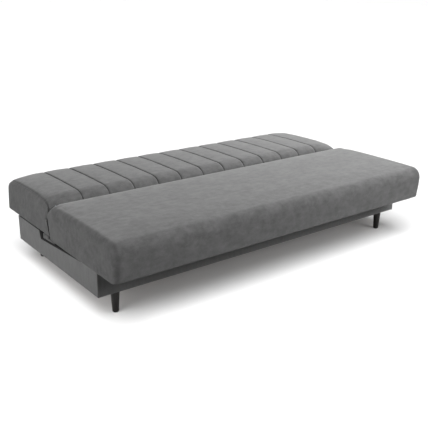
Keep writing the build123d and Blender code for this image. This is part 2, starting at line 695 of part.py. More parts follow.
def back_pieces():
    """The back panel: channelled cover, foam, frame and dust cover."""
    core_half = HALF_LENGTH - BACK_QUILT
    core_y = (BACK_FRONT + FOLD_FACE_COVER, BACK_REAR - BACK_REAR_TUCK - BACK_QUILT)
    core_top = BACK_TOP - BACK_REAR_FALL - BACK_QUILT
    frame_half = HALF_LENGTH - PANEL_PADDING
    frame_y = (core_y[0] + 2 * LAYER_GAP, BACK_REAR - BACK_REAR_TUCK - PANEL_PADDING)
    frame_bottom = BACK_UNDERSIDE + DUST_COVER
    pieces, felt_top = panel_frame("back", frame_half, frame_y, frame_bottom, BACK_RAIL_HEIGHT)
    for node in ("back_front_rail", "back_felt"):
        pieces[node] = cut_hinges(pieces[node], BACK_KNUCKLE, 1)

    cover = back_form() - foam_core(core_half, core_y, (BACK_UNDERSIDE - BACK_QUILT, core_top), False)
    pieces["back_cover"] = cut_hinges(cover, BACK_KNUCKLE, 1)
    foam_y = (core_y[0] + LAYER_GAP, core_y[1] - LAYER_GAP)
    foam = foam_core(core_half - LAYER_GAP, foam_y, (frame_bottom, core_top - LAYER_GAP), False)
    foam -= room_for_frame(frame_half, (BACK_FRONT, frame_y[1]), frame_bottom, felt_top)
    pieces["back_foam"] = cut_hinges(foam, BACK_KNUCKLE, 1)
    pieces["back_dust_cover"] = block((-frame_half, frame_half), frame_y, (BACK_UNDERSIDE, frame_bottom))
    return pieces


def bumper_pieces():
    """Rubber bumpers on the box's side boards, under the seat and under the back."""
    up = (0, 0, 1)
    middle = (BOARD_INNER + BOARD_OUTER) / 2
    seat_rise = SEAT_UNDERSIDE - BUMPER_GAP - BOX_FRONT_TOP
    back_rise = BACK_UNDERSIDE - BUMPER_GAP - BOX_REAR_TOP
    seat_pads = []
    back_pads = []
    step_top = FOLD_Y + BOX_STEP_BEHIND_FOLD + BOX_STEP_SLANT
    for side in SIDES.values():
        for y in (BOARD_FRONT + BUMPER_FROM_EDGE, BOARD_FRONT + BOX_FRONT_FLAT - BUMPER_FROM_EDGE / 2):
            seat_pads.append(rod((side * middle, y, BOX_FRONT_TOP), up, BUMPER_RADIUS, seat_rise))
        for y in (step_top + BUMPER_FROM_EDGE, BOARD_REAR - BUMPER_FROM_EDGE):
            back_pads.append(rod((side * middle, y, BOX_REAR_TOP), up, BUMPER_RADIUS, back_rise))
    return {"seat_bumpers": Compound(children=seat_pads), "back_bumpers": Compound(children=back_pads)}


pieces = {}
for group in (box_pieces, leg_pieces, hinge_pieces, bumper_pieces, seat_pieces, back_pieces):
    pieces.update(group())

os.makedirs("parts", exist_ok=True)
for node, shape in pieces.items():
    export_step(shape, f"parts/{node}.step")
print(len(pieces), "nodes")
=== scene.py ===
# %% [markdown]
# # A click-clack sofa bed, lying flat
# The bed is two padded panels over a bedding box on four legs. The construction is already modelled, so
# this lesson only dresses it: every piece below is made in metres, in the frame of the imported model, and
# takes its place from the solid that it covers. We load that model first.

# %% Load the imported model
import json
import math

import bmesh
import bpy
from mathutils import Matrix, Vector
from mathutils.kdtree import KDTree

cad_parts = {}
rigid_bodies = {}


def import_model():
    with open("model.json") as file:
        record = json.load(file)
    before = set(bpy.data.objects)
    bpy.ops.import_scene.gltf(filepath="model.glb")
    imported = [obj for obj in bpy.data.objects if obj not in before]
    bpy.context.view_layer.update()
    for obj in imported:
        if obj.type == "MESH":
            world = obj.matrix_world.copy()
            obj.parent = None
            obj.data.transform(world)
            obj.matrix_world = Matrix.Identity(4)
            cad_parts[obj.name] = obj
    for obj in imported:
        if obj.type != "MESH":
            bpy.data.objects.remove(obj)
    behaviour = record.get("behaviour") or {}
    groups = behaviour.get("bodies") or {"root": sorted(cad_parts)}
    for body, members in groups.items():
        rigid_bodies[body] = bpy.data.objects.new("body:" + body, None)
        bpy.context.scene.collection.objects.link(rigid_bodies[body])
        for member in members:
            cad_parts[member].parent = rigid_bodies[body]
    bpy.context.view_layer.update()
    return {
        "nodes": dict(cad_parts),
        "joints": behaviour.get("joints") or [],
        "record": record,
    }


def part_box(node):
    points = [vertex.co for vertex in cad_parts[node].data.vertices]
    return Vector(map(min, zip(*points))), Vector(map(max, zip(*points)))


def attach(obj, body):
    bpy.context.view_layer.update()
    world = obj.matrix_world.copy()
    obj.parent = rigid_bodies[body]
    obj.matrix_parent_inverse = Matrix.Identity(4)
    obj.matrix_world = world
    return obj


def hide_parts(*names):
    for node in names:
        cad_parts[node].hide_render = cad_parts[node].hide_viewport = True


for leftover in list(bpy.data.objects):
    bpy.data.objects.remove(leftover)
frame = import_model()
MM = 0.001

# %% [markdown]
# ## The camera
# The photograph's vanishing points fix the view: how far the camera is turned, tilted and rolled, and the
# focal length. The eye's place then follows from the bed's own size. A camera looks along its own -Z axis,
# so the three directions of the picture become the columns of its matrix.

# %% Camera at the photograph's viewing angle
EYE = Vector((-2.087, -2.584, 1.359))
TURN = math.radians(38.11)
TILT = math.radians(19.84)
ROLL = math.radians(0.98)
SENSOR_WIDTH = 36.0
FOCAL_LENGTH = 55.43

forward = Vector((math.sin(TURN) * math.cos(TILT), math.cos(TURN) * math.cos(TILT), -math.sin(TILT)))
level = Vector((math.cos(TURN), -math.sin(TURN), 0.0))
upright = level.cross(forward)
picture_right = level * math.cos(ROLL) + upright * math.sin(ROLL)
picture_up = upright * math.cos(ROLL) - level * math.sin(ROLL)

camera = bpy.data.objects.new("camera", bpy.data.cameras.new("camera"))
camera.data.sensor_width = SENSOR_WIDTH
camera.data.lens = FOCAL_LENGTH
turned = Matrix((picture_right, picture_up, -forward)).transposed().to_4x4()
camera.matrix_world = Matrix.Translation(EYE) @ turned
bpy.context.scene.collection.objects.link(camera)
bpy.context.scene.camera = camera
print("camera height in metres:", EYE.z)

# %% [markdown]
# ## Helpers for materials
# Colours are written as sRGB hex values, the way a paint card gives them, and one function turns them into
# the linear values that the shader wants. Patterns read Object coordinates, which here are metres in the
# bed's own frame, so the size of a pattern is a real size: a noise of 4 mm has a scale of 1 / 0.004. A wave
# texture counts otherwise: at a scale of 1, its waves are tau / 20 apart.

# %% Colour, pattern size and node helpers
WAVE_PERIOD = math.tau / 20


def linear(hex_colour):
    """Linear RGBA of an sRGB colour such as '#868686'."""
    channels = [int(hex_colour[place:place + 2], 16) / 255 for place in (1, 3, 5)]
    straight = [c / 12.92 if c <= 0.04045 else ((c + 0.055) / 1.055) ** 2.4 for c in channels]
    return (*straight, 1.0)


def per(size_mm):
    """Texture scale whose pattern repeats about once in that many millimetres."""
    return 1.0 / (size_mm * MM)


def waves_per(size_mm):
    """Scale of a wave texture with one wave in that many millimetres."""
    return WAVE_PERIOD / (size_mm * MM)


def add(tree, kind, inputs=None, **settings):
    """Adds one node: settings are its options, and an input that is a socket gets linked."""
    made = tree.nodes.new(kind)
    for name, value in settings.items():
        setattr(made, name, value)
    for socket, value in (inputs or {}).items():
        if isinstance(value, bpy.types.NodeSocket):
            tree.links.new(value, made.inputs[socket])
        else:
            made.inputs[socket].default_value = value
    return made


def start_material(name, roughness, **sockets):
    """A new material: returns it with its tree, its shader and the Object coordinates."""
    material = bpy.data.materials.new(name)
    material.use_nodes = True
    tree = material.node_tree
    shader = tree.nodes["Principled BSDF"]
    shader.inputs["Roughness"].default_value = roughness
    for socket, value in sockets.items():
        shader.inputs[socket.replace("_", " ")].default_value = value
    place = add(tree, "ShaderNodeTexCoord").outputs["Object"]
    return material, tree, shader, place


def stretched(tree, place, size_mm):
    """Coordinates in which one unit is that many millimetres along X, Y and Z."""
    scale = tuple(per(size) for size in size_mm)
    return add(tree, "ShaderNodeMapping", {"Vector": place, "Scale": scale}).outputs["Vector"]


def blend_colours(tree, factor, first, second):
    """Colour socket that goes from the first colour to the second."""
    return add(tree, "ShaderNodeMix", {0: factor, 6: first, 7: second}, data_type="RGBA").outputs[2]


def relief(tree, shader, height, depth_mm, strength=1.0):
    """Lets the height socket raise the surface by that depth, by bump."""
    bump = add(tree, "ShaderNodeBump", {"Height": height, "Distance": depth_mm * MM, "Strength": strength})
    tree.links.new(bump.outputs["Normal"], shader.inputs["Normal"])


print("half grey is", round(linear("#808080")[0], 3), "in linear light")

# %% [markdown]
# ## The upholstery velvet
# The panels are covered in a short cut-pile polyester velvet. Its pile leans a little this way and that, so
# the cloth looks softly mottled in patches of a hand's breadth and faintly streaked along the bed, and it
# catches light at grazing angles: that is the sheen. The fibres themselves are about 0.2 mm wide and would
# vanish in the picture, so a grain of 5 mm stands for them. The noises are summed, and the colour goes from
# dark to light between two values of that sum.

# %% Velvet
VELVET_LIGHT = linear("#848484")
VELVET_DARK = linear("#686868")
PATCH_MM = 70
BRUSHED_MM = 24
STREAK_MM = (52, 16, 26)
PILE_MM = 5
PILE_SHARE = 0.8
DARK_SUM = 1.45
LIGHT_SUM = 2.35


def make_velvet():
    material, tree, shader, place = start_material(
        "cut_pile_velvet", 0.85, Sheen_Weight=0.55, Sheen_Roughness=0.45, Specular_IOR_Level=0.25)
    patches = add(tree, "ShaderNodeTexNoise", {"Vector": place, "Scale": per(PATCH_MM), "Detail": 4.0})
    along = stretched(tree, place, STREAK_MM)
    streaks = add(tree, "ShaderNodeTexNoise", {"Vector": along, "Scale": 1.0, "Detail": 3.0})
    grain = {"Vector": place, "Scale": per(PILE_MM), "Detail": 3.0, "Roughness": 0.7}
    pile = add(tree, "ShaderNodeTexNoise", grain)
    brushed = add(tree, "ShaderNodeTexNoise", {"Vector": place, "Scale": per(BRUSHED_MM), "Detail": 2.0})
    leaning = add(tree, "ShaderNodeMath", {0: patches.outputs[0], 1: streaks.outputs[0]}, operation="ADD")
    leaning = add(tree, "ShaderNodeMath", {0: leaning.outputs[0], 1: brushed.outputs[0]}, operation="ADD")
    speckled = add(tree, "ShaderNodeMath", {0: pile.outputs[0], 1: PILE_SHARE, 2: leaning.outputs[0]},
                   operation="MULTIPLY_ADD")
    spread = add(tree, "ShaderNodeMapRange", {0: speckled.outputs[0], 1: DARK_SUM, 2: LIGHT_SUM})
    colour = blend_colours(tree, spread.outputs[0], VELVET_DARK, VELVET_LIGHT)
    tree.links.new(colour, shader.inputs["Base Color"])
    relief(tree, shader, pile.outputs[0], 0.5, 0.35)
    return material


velvet = make_velvet()
print("made", velvet.name)

# %% [markdown]
# ## The bedding box's fabric
# The box is covered in a flat-woven polyester of a slightly lighter grey. A plain weave crosses two sets of
# threads, so waves at right angles make its relief: along X and Y for the upright threads and along Z for
# the level ones. The threads are 0.6 mm apart on the real cloth and are drawn 1.8 mm apart here, so that the
# weave still shows from a step away.

# %% Woven box fabric
WEAVE_LIGHT = linear("#9e9e9e")
WEAVE_DARK = linear("#828282")
THREAD_MM = 1.8
SLUB_MM = (14, 14, 60)
WEAVE_SHARE = 0.4


def thread_waves(tree, place, direction):
    """Height of one set of threads."""
    inputs = {"Vector": place, "Scale": waves_per(THREAD_MM), "Distortion": 0.6, "Detail": 1.0}
    return add(tree, "ShaderNodeTexWave", inputs, bands_direction=direction).outputs["Fac"]


def make_box_fabric():
    material, tree, shader, place = start_material(
        "flat_woven_polyester", 0.9, Sheen_Weight=0.08, Specular_IOR_Level=0.2)
    along, across, level_threads = [thread_waves(tree, place, axis) for axis in "XYZ"]
    upright_threads = add(tree, "ShaderNodeMath", {0: along, 1: across}, operation="MAXIMUM")
    crossing = {0: upright_threads.outputs[0], 1: level_threads}
    weave = add(tree, "ShaderNodeMath", crossing, operation="MULTIPLY")
    upward = stretched(tree, place, SLUB_MM)
    slubs = add(tree, "ShaderNodeTexNoise", {"Vector": upward, "Scale": 1.0, "Detail": 3.0})
    tone = add(tree, "ShaderNodeMath", {0: weave.outputs[0], 1: WEAVE_SHARE, 2: slubs.outputs[0]},
               operation="MULTIPLY_ADD")
    colour = blend_colours(tree, tone.outputs[0], WEAVE_DARK, WEAVE_LIGHT)
    tree.links.new(colour, shader.inputs["Base Color"])
    relief(tree, shader, weave.outputs[0], 0.3, 0.5)
    return material


box_fabric = make_box_fabric()
print("made", box_fabric.name)

# %% [markdown]
# ## Wood and board
# The legs are turned beech, stained black and lacquered satin: the grain still lifts the surface a little,
# and the lacquer gives each leg a soft sheen. Inside, the frames are planed softwood with wide rings, the
# box is particle board, which is speckled with chips, and its floor is brown hardboard.

# %% Stained beech, softwood, particle board and hardboard
FLECK_MM = (2.5, 2.5, 28)
BEND_MM = 90
RING_MM = 9
CHIP_MM = 3.5
FIBRE_MM = 3


def make_leg_black():
    material, tree, shader, place = start_material("black_stained_beech", 0.36, Specular_IOR_Level=0.25)
    upward = stretched(tree, place, FLECK_MM)
    flecks = add(tree, "ShaderNodeTexNoise", {"Vector": upward, "Scale": 1.0, "Detail": 4.0})
    colour = blend_colours(tree, flecks.outputs[0], linear("#121110"), linear("#282523"))
    tree.links.new(colour, shader.inputs["Base Color"])
    rough = add(tree, "ShaderNodeMapRange", {0: flecks.outputs[0], 3: 0.28, 4: 0.46})
    tree.links.new(rough.outputs[0], shader.inputs["Roughness"])
    relief(tree, shader, flecks.outputs[0], 0.2, 0.3)
    return material


def make_softwood():
    material, tree, shader, place = start_material("planed_softwood", 0.6)
    bent = add(tree, "ShaderNodeTexNoise", {"Vector": place, "Scale": per(BEND_MM), "Detail": 2.0})
    wavy = {"Vector": place, "Scale": waves_per(RING_MM)}
    wavy.update({"Distortion": 3.0, "Detail": 2.0, "Detail Scale": 0.4})
    rings = add(tree, "ShaderNodeTexWave", wavy, bands_direction="Z")
    tone = add(tree, "ShaderNodeMath", {0: rings.outputs["Fac"], 1: 0.6, 2: bent.outputs[0]},
               operation="MULTIPLY_ADD")
    colour = blend_colours(tree, tone.outputs[0], linear("#d8b98a"), linear("#b98d58"))
    tree.links.new(colour, shader.inputs["Base Color"])
    relief(tree, shader, rings.outputs["Fac"], 0.15, 0.3)
    return material


def make_particle_board():
    material, tree, shader, place = start_material("particle_board", 0.75)
    chips = add(tree, "ShaderNodeTexVoronoi", {"Vector": place, "Scale": per(CHIP_MM), "Randomness": 1.0})
    tone = add(tree, "ShaderNodeSeparateColor", {0: chips.outputs["Color"]})
    colour = blend_colours(tree, tone.outputs[0], linear("#a98c63"), linear("#d2b78c"))
    tree.links.new(colour, shader.inputs["Base Color"])
    relief(tree, shader, chips.outputs["Distance"], 0.3, 0.3)
    return material


def make_hardboard():
    material, tree, shader, place = start_material("brown_hardboard", 0.55)
    fibres = add(tree, "ShaderNodeTexNoise", {"Vector": place, "Scale": per(FIBRE_MM), "Detail": 5.0})
    colour = blend_colours(tree, fibres.outputs[0], linear("#6b4d34"), linear("#8d6a49"))
    tree.links.new(colour, shader.inputs["Base Color"])
    relief(tree, shader, fibres.outputs[0], 0.15, 0.4)
    return material


leg_black = make_leg_black()
softwood = make_softwood()
particle_board = make_particle_board()
hardboard = make_hardboard()
print("made", leg_black.name, softwood.name, particle_board.name, hardboard.name)

# %% [markdown]
# ## Steel, rubber and plastic
# The hinges are pressed steel with a black powder coat, whose fine orange-peel texture is about a
# millimetre across. Screws, bolts, studs and pins are zinc plated: a blue-grey metal that is a little
# patchy. The bumpers are moulded rubber and the foot glides polyethylene, both near black and matt.

# %% Powder coat, zinc, rubber and polyethylene
def make_speckled(name, dark, light, grain_mm, depth_mm, roughness, **sockets):
    """A finish whose only pattern is a fine grain in colour and relief."""
    material, tree, shader, place = start_material(name, roughness, **sockets)
    grain = add(tree, "ShaderNodeTexNoise", {"Vector": place, "Scale": per(grain_mm), "Detail": 3.0})
    colour = blend_colours(tree, grain.outputs[0], linear(dark), linear(light))
    tree.links.new(colour, shader.inputs["Base Color"])
    relief(tree, shader, grain.outputs[0], depth_mm, 0.4)
    return material


powder_coat = make_speckled("black_powder_coat", "#131313", "#202020", 1.2, 0.08, 0.45)
zinc = make_speckled("zinc_plated_steel", "#a9adb3", "#c6c9cd", 3.0, 0.02, 0.32, Metallic=1.0)
rubber = make_speckled("moulded_rubber", "#141414", "#1f1f1f", 2.0, 0.1, 0.75)
polyethylene = make_speckled("moulded_polyethylene", "#161616", "#1e1e1e", 2.5, 0.05, 0.5)
print("made", powder_coat.name, zinc.name, rubber.name, polyethylene.name)

# %% [markdown]
# ## What is hidden inside
# Foam, felt, elastic webbing and the black dust cloth under the panels hardly show, but the bed opens, so
# each gets its own finish: foam has open cells, felt a tangle of fibres, webbing a fine rib and the
# spunbond dust cloth a grid of small welded dots.

# %% Foam, felt, webbing, dust cloth and thread
RIB_MM = 3.0
WELD_MM = 2.5


def make_webbing():
    material, tree, shader, place = start_material("elastic_webbing", 0.85)
    ribs = add(tree, "ShaderNodeTexWave", {"Vector": place, "Scale": waves_per(RIB_MM)}, bands_direction="X")
    colour = blend_colours(tree, ribs.outputs["Fac"], linear("#1c1c1c"), linear("#4a4a48"))
    tree.links.new(colour, shader.inputs["Base Color"])
    relief(tree, shader, ribs.outputs["Fac"], 0.4, 0.5)
    return material


# The same dark cloth also serves as painted shade: strips of it lie in the fold and over the box's upper
# edges.
def make_dust_cloth_and_shade():
    material, tree, shader, place = start_material("dust_cloth_and_painted_shade", 0.8)
    welds = add(tree, "ShaderNodeTexVoronoi", {"Vector": place, "Scale": per(WELD_MM), "Randomness": 0.1})
    colour = blend_colours(tree, welds.outputs["Distance"], linear("#141414"), linear("#2c2c2c"))
    tree.links.new(colour, shader.inputs["Base Color"])
    relief(tree, shader, welds.outputs["Distance"], 0.2, 0.5)
    return material


foam = make_speckled("open_cell_foam", "#cdbf93", "#e6dbb6", 2.0, 0.6, 0.95)
felt = make_speckled("needled_felt", "#7f7c77", "#a09d97", 3.0, 0.8, 0.95)
thread = make_speckled("polyester_thread", "#565656", "#6a6a6a", 1.0, 0.1, 0.6)
webbing = make_webbing()
dust_cloth = make_dust_cloth_and_shade()
print("made", foam.name, felt.name, thread.name, webbing.name, dust_cloth.name)

# %% [markdown]
# ## Dressing the solids that stay
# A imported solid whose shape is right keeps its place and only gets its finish. The record names a material
# slot for each one, so a table from slot to material dresses them all in one loop.

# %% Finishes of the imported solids
FINISHES = {
    "velvet": velvet, "box_fabric": box_fabric, "foam": foam, "felt": felt, "webbing": webbing,
    "dust_cloth": dust_cloth, "timber": softwood, "board": particle_board, "fibreboard": hardboard,
    "leg_black": leg_black, "steel_black": powder_coat, "steel": zinc, "rubber": rubber,
    "glide": polyethylene,
}
for part in frame["record"]["subparts"]:
    solid = frame["nodes"][part["node"]]
    if not solid.material_slots:
        solid.data.materials.append(None)
    for held in solid.material_slots:
        held.material = FINISHES[part["material_slot"]]
print("dressed", len(frame["nodes"]), "solids")

# %% [markdown]
# ## A skin over rings
# Both panels are long and have one section that changes only near the ends, so each is lofted: a closed
# ring of points for each station along the bed, skinned with quads. The flat ends are closed by rings that
# shrink towards the middle, which keeps the quads even.

# %% Loft and mesh helpers
CAP_STEPS = (0.86, 0.66, 0.42, 0.2)


def add_piece(name, points, faces, material):
    """A smooth-shaded mesh object with outward faces, at the origin."""
    mesh = bpy.data.meshes.new(name)
    mesh.from_pydata(points, [], faces)
    shape = bmesh.new()
    shape.from_mesh(mesh)
    bmesh.ops.recalc_face_normals(shape, faces=shape.faces)
    shape.to_mesh(mesh)
    shape.free()
    mesh.materials.append(material)
    mesh.shade_smooth()
    piece = bpy.data.objects.new(name, mesh)
    bpy.context.scene.collection.objects.link(piece)
    return piece


def skin(rings):
    """Points and faces of a closed skin over the rings, both ends capped."""
    size = len(rings[0])
    centres = [sum(ring, Vector()) / size for ring in (rings[0], rings[-1])]
    first = [[centres[0].lerp(point, step) for point in rings[0]] for step in reversed(CAP_STEPS)]
    last = [[centres[1].lerp(point, step) for point in rings[-1]] for step in CAP_STEPS]
    rows = first + rings + last
    points = [point for row in rows for point in row] + centres
    faces = []
    for row in range(len(rows) - 1):
        for place in range(size):
            after = (place + 1) % size
            near, far = row * size, (row + 1) * size
            faces.append((near + place, near + after, far + after, far + place))
    for centre, start in ((len(points) - 2, 0), (len(points) - 1, (len(rows) - 1) * size)):
        faces += [(centre, start + place, start + (place + 1) % size) for place in range(size)]
    return points, faces


def arc(centre, radius, start, end, count):
    """Points of a round stretch, angles in degrees, without its last point."""
    steps = [math.radians(start + (end - start) * place / count) for place in range(count)]
    return [(centre[0] + radius * math.cos(angle), centre[1] + radius * math.sin(angle)) for angle in steps]


def run(start, end, count):
    """Points of a straight stretch without its last point."""
    return [(start[0] + (end[0] - start[0]) * place / count, start[1] + (end[1] - start[1]) * place / count)
            for place in range(count)]


def fall(gap, radius):
    """How far a rounded edge of that radius has fallen, this far from the end."""
    if gap >= radius:
        return 0.0
    return radius - math.sqrt(radius ** 2 - (radius - gap) ** 2)


def clamp(value):
    """The value, held between nothing and one."""
    return max(0.0, min(1.0, value))


def apply_modifiers(piece):
    """Turns the evaluated shape into the piece's own plain mesh."""
    shown = piece.evaluated_get(bpy.context.evaluated_depsgraph_get())
    mesh = bpy.data.meshes.new_from_object(shown)
    mesh.name = piece.name
    piece.modifiers.clear()
    piece.data = mesh
    piece.data.shade_smooth()


print("a loft's ends are closed in", len(CAP_STEPS) + 1, "steps")

# %% [markdown]
# ## The seat panel
# The seat is one smooth block of foam under tight velvet: a gentle crown, a soft front edge, round ends and
# a front that tucks under to a hem. Its rear edge is rounder than the front one, which leaves room for the
# back when the bed is folded up. The ends stand a little past the frame, because the foam is full there.

# %% Seat sizes
seat_low, seat_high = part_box("seat_cover")
SEAT_CROWN = 4 * MM
SEAT_TOP = seat_high.z - SEAT_CROWN
SEAT_FRONT_ROUND = 52 * MM
SEAT_REAR_ROUND = 58 * MM
SEAT_END_ROUND = 27 * MM
SEAT_CORNER_ROUND = 28 * MM
SEAT_REAR_CORNER = 7 * MM
SEAT_FULLNESS = 4 * MM
SEAT_TUCK = 7 * MM
FRONT_HEM_ROUND = 20 * MM
HEM_ROUND = 8 * MM
END_FOOT_ROUND = 6 * MM
print("seat cover in metres:", [round(size, 3) for size in seat_high - seat_low])

# %% [markdown]
# The section walks round the seat once: underneath from rear to front, up the front, over the top and down
# the rear. The underside is stapled to the frame round a dust cloth, so the skin steps up over that cloth.
# Each end draws the section in.

# %% Section of the seat
UNDER_STEP = 2.2 * MM
CLOTH_MARGIN = 2 * MM
MARGIN_STEPS = 3
SEAT_CLOTH_STEPS = 12
SEAT_FRONT_STEPS = 10
SEAT_TOP_STEPS = 36


def underside(hem_rear, hem_front, cloth, foot, step, cloth_steps):
    """Points (y, z) under a panel from its rear hem to its front one, with the step over its dust cloth."""
    cloth_low, cloth_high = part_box(cloth)
    cloth_rear = min(cloth_high.y, hem_rear - CLOTH_MARGIN)
    cloth_front = max(cloth_low.y, hem_front + CLOTH_MARGIN)
    walk = run((hem_rear, foot), (cloth_rear, foot), MARGIN_STEPS)
    walk += run((cloth_rear, foot + step), (cloth_front, foot + step), cloth_steps)
    walk += run((cloth_front, foot), (hem_front, foot), MARGIN_STEPS)
    return walk


def seat_section(gap, over_cloth):
    """Points (y, z) round the seat, this far from its end."""
    front = seat_low.y + fall(gap, SEAT_CORNER_ROUND)
    rear = seat_high.y - fall(gap, SEAT_REAR_CORNER)
    top = SEAT_TOP - fall(gap, SEAT_END_ROUND)
    foot = seat_low.z + fall(gap, END_FOOT_ROUND)
    step = UNDER_STEP if over_cloth else 0.0
    hem = (front + SEAT_TUCK + FRONT_HEM_ROUND, foot + FRONT_HEM_ROUND)
    walk = underside(rear - HEM_ROUND, hem[0], "seat_dust_cover", foot, step, SEAT_CLOTH_STEPS)
    walk += arc(hem, FRONT_HEM_ROUND, 270, 180, 7)
    swell_top = top - SEAT_FRONT_ROUND
    for place in range(SEAT_FRONT_STEPS):
        height = place / SEAT_FRONT_STEPS
        tuck = SEAT_TUCK * (1 - height) ** 2
        walk.append((front + tuck, hem[1] + (swell_top - hem[1]) * height))
    top_front = front + SEAT_FRONT_ROUND
    top_rear = rear - SEAT_REAR_ROUND
    walk += arc((top_front, swell_top), SEAT_FRONT_ROUND, 180, 90, 12)
    flatness = 1 - fall(gap, SEAT_END_ROUND) / SEAT_END_ROUND
    for place in range(SEAT_TOP_STEPS):
        along = place / SEAT_TOP_STEPS
        crown = SEAT_CROWN * flatness * (1 - (2 * along - 1) ** 4)
        walk.append((top_front + (top_rear - top_front) * along, top + crown))
    walk += arc((top_rear, top - SEAT_REAR_ROUND), SEAT_REAR_ROUND, 90, 0, 10)
    walk += run((rear, top - SEAT_REAR_ROUND), (rear, foot + HEM_ROUND), 8)
    walk += arc((rear - HEM_ROUND, foot + HEM_ROUND), HEM_ROUND, 0, -90, 4)
    return walk


print("seat section:", len(seat_section(SEAT_CORNER_ROUND, True)), "points")

# %% [markdown]
# ## The ends of the fold
# Where the fold comes out at the bed's ends, its two faces lean towards the rear, more the higher up, and
# the seat's rear corners hang a little. Both are small moves of a finished skin's points, which fade out
# away from the fold's ends.

# %% Moves at the ends of the fold
FOLD_SLANT_REACH = 40 * MM
FOLD_SLANT_DEPTH = 90 * MM
FOLD_SLANT_TOP = 346 * MM
FOLD_SLANT_FADE = 24 * MM
SEAT_SLANT = 0.16
SEAT_SLANT_LEVEL = 282 * MM
BACK_SLANT = 0.1
BACK_SLANT_LEVEL = 345 * MM
CORNER_DROP = 12 * MM
CORNER_DROP_ALONG = 45 * MM
CORNER_DROP_AHEAD = 110 * MM


def near_fold_end(point, half, from_fold):
    """One at the very ends of the fold, falling to nothing a little inwards or away from it."""
    near_end = max(0.0, 1 - (half - abs(point.x)) / FOLD_SLANT_REACH)
    near_fold = max(0.0, 1 - from_fold / FOLD_SLANT_DEPTH)
    return min(1.0, 2 * near_end) * near_fold


def fold_slant(point, slant, level):
    """How far a face of the fold leans back at this height, which ends quickly over the top."""
    fade = max(0.0, 1 - max(0.0, point.z - FOLD_SLANT_TOP) / FOLD_SLANT_FADE)
    return slant * (min(point.z, FOLD_SLANT_TOP) - level) * fade


def corner_drop(point, half):
    """How far the seat's two rear corners hang at this point."""
    near_end = max(0.0, 1 - (half - abs(point.x)) / CORNER_DROP_ALONG)
    near_fold = max(0.0, 1 - (seat_high.y - point.y) / CORNER_DROP_AHEAD)
    height = max(0.0, (point.z - seat_low.z) / (SEAT_TOP - seat_low.z))
    return CORNER_DROP * near_end * near_fold * height ** 3


print("the seat's rear corners hang by", round(CORNER_DROP / MM), "mm")

# %% [markdown]
# The stations crowd together where the ends are round and stand a finger apart between them. Two extra
# pairs let the underside step up sharply at the dust cloth's ends.

# %% Seat panel
END_STEPS = 10
STATION_PITCH = 24 * MM
CLOTH_EDGE = 0.3 * MM


def end_gaps(radius):
    """Distances from the end at which the round end needs a station."""
    return [radius * (1 - math.cos(math.radians(90 * step / END_STEPS))) for step in range(END_STEPS + 1)]


def stations(half, radius, cloth_half):
    """Places along X of the sections, and whether each lies over the dust cloth."""
    places = [-half + gap for gap in end_gaps(radius)]
    inner = 2 * (half - radius)
    count = round(inner / STATION_PITCH)
    places += [-half + radius + inner * step / count for step in range(1, count)]
    places += [half - gap for gap in reversed(end_gaps(radius))]
    places += [side * (cloth_half + offset) for side in (-1, 1) for offset in (-CLOTH_EDGE, CLOTH_EDGE)]
    return [(place, abs(place) < cloth_half) for place in sorted(places)]


def make_seat():
    """The seat's skin, which is full at its ends except at the fold."""
    half = seat_high.x + SEAT_FULLNESS
    cloth_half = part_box("seat_dust_cover")[1].x
    rings = []
    for x, over_cloth in stations(half, SEAT_CORNER_ROUND, cloth_half):
        section = seat_section(half - abs(x), over_cloth)
        rings.append([Vector((x, y, z)) for y, z in section])
    points, faces = skin(rings)
    for point in points:
        weight = near_fold_end(point, half, seat_high.y - point.y)
        point.y += weight * fold_slant(point, SEAT_SLANT, SEAT_SLANT_LEVEL)
        point.x -= math.copysign(weight * SEAT_FULLNESS, point.x)
        point.z -= corner_drop(point, half)
    return add_piece("seat_upholstery", points, faces, velvet)


seat = make_seat()
print("seat upholstery:", len(seat.data.polygons), "faces")

# %% [markdown]
# ## The back panel
# The back has the same build but is quilted: eleven soft channels run from the fold over the nose to the
# rear, sewn down along twelve seams, and the end panels are joined by one more seam each. A channel swells
# between its seams, so the skin is drawn in along its own normal by an amount that depends on the distance
# to the nearest seam: a broad swell plus a narrow pinch where the thread pulls the cloth down.

# %% Seams of the back
back_low, back_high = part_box("back_cover")
CHANNELS = 11
CHANNEL_PITCH = 140.5 * MM
CHANNEL_SWELL = 2 * MM
SEAM_PINCH = 6.5 * MM
SEAM_PINCH_WIDTH = 2.8 * MM
END_SEAM_GAP = 9 * MM
END_SEAM_PINCH = 13 * MM
END_PINCH_WIDTH = 2.24 * MM

seams = [(number - CHANNELS / 2) * CHANNEL_PITCH for number in range(CHANNELS + 1)]


def draw_in(x):
    """How far the seams pull the skin in at this place along the bed."""
    gap = min(abs(x - seam) for seam in seams)
    reach = max(0.0, 1 - gap / (CHANNEL_PITCH / 2))
    pinch = SEAM_PINCH * math.exp(-gap / SEAM_PINCH_WIDTH) + CHANNEL_SWELL * reach ** 2
    end_gap = abs(back_high.x - abs(x) - END_SEAM_GAP)
    return pinch + END_SEAM_PINCH * math.exp(-end_gap / END_PINCH_WIDTH)


print(len(seams), "seams draw the skin in by", round(draw_in(seams[1]) / MM, 1), "mm")

# %% [markdown]
# Seen from the end, the back is a block with a long soft nose over the fold. Under the nose its face draws
# back to a chin and comes forward again to the foot, which leaves a hollow in the fold. The top rises to a
# low peak and falls to a round rear edge, and it droops towards both ends.

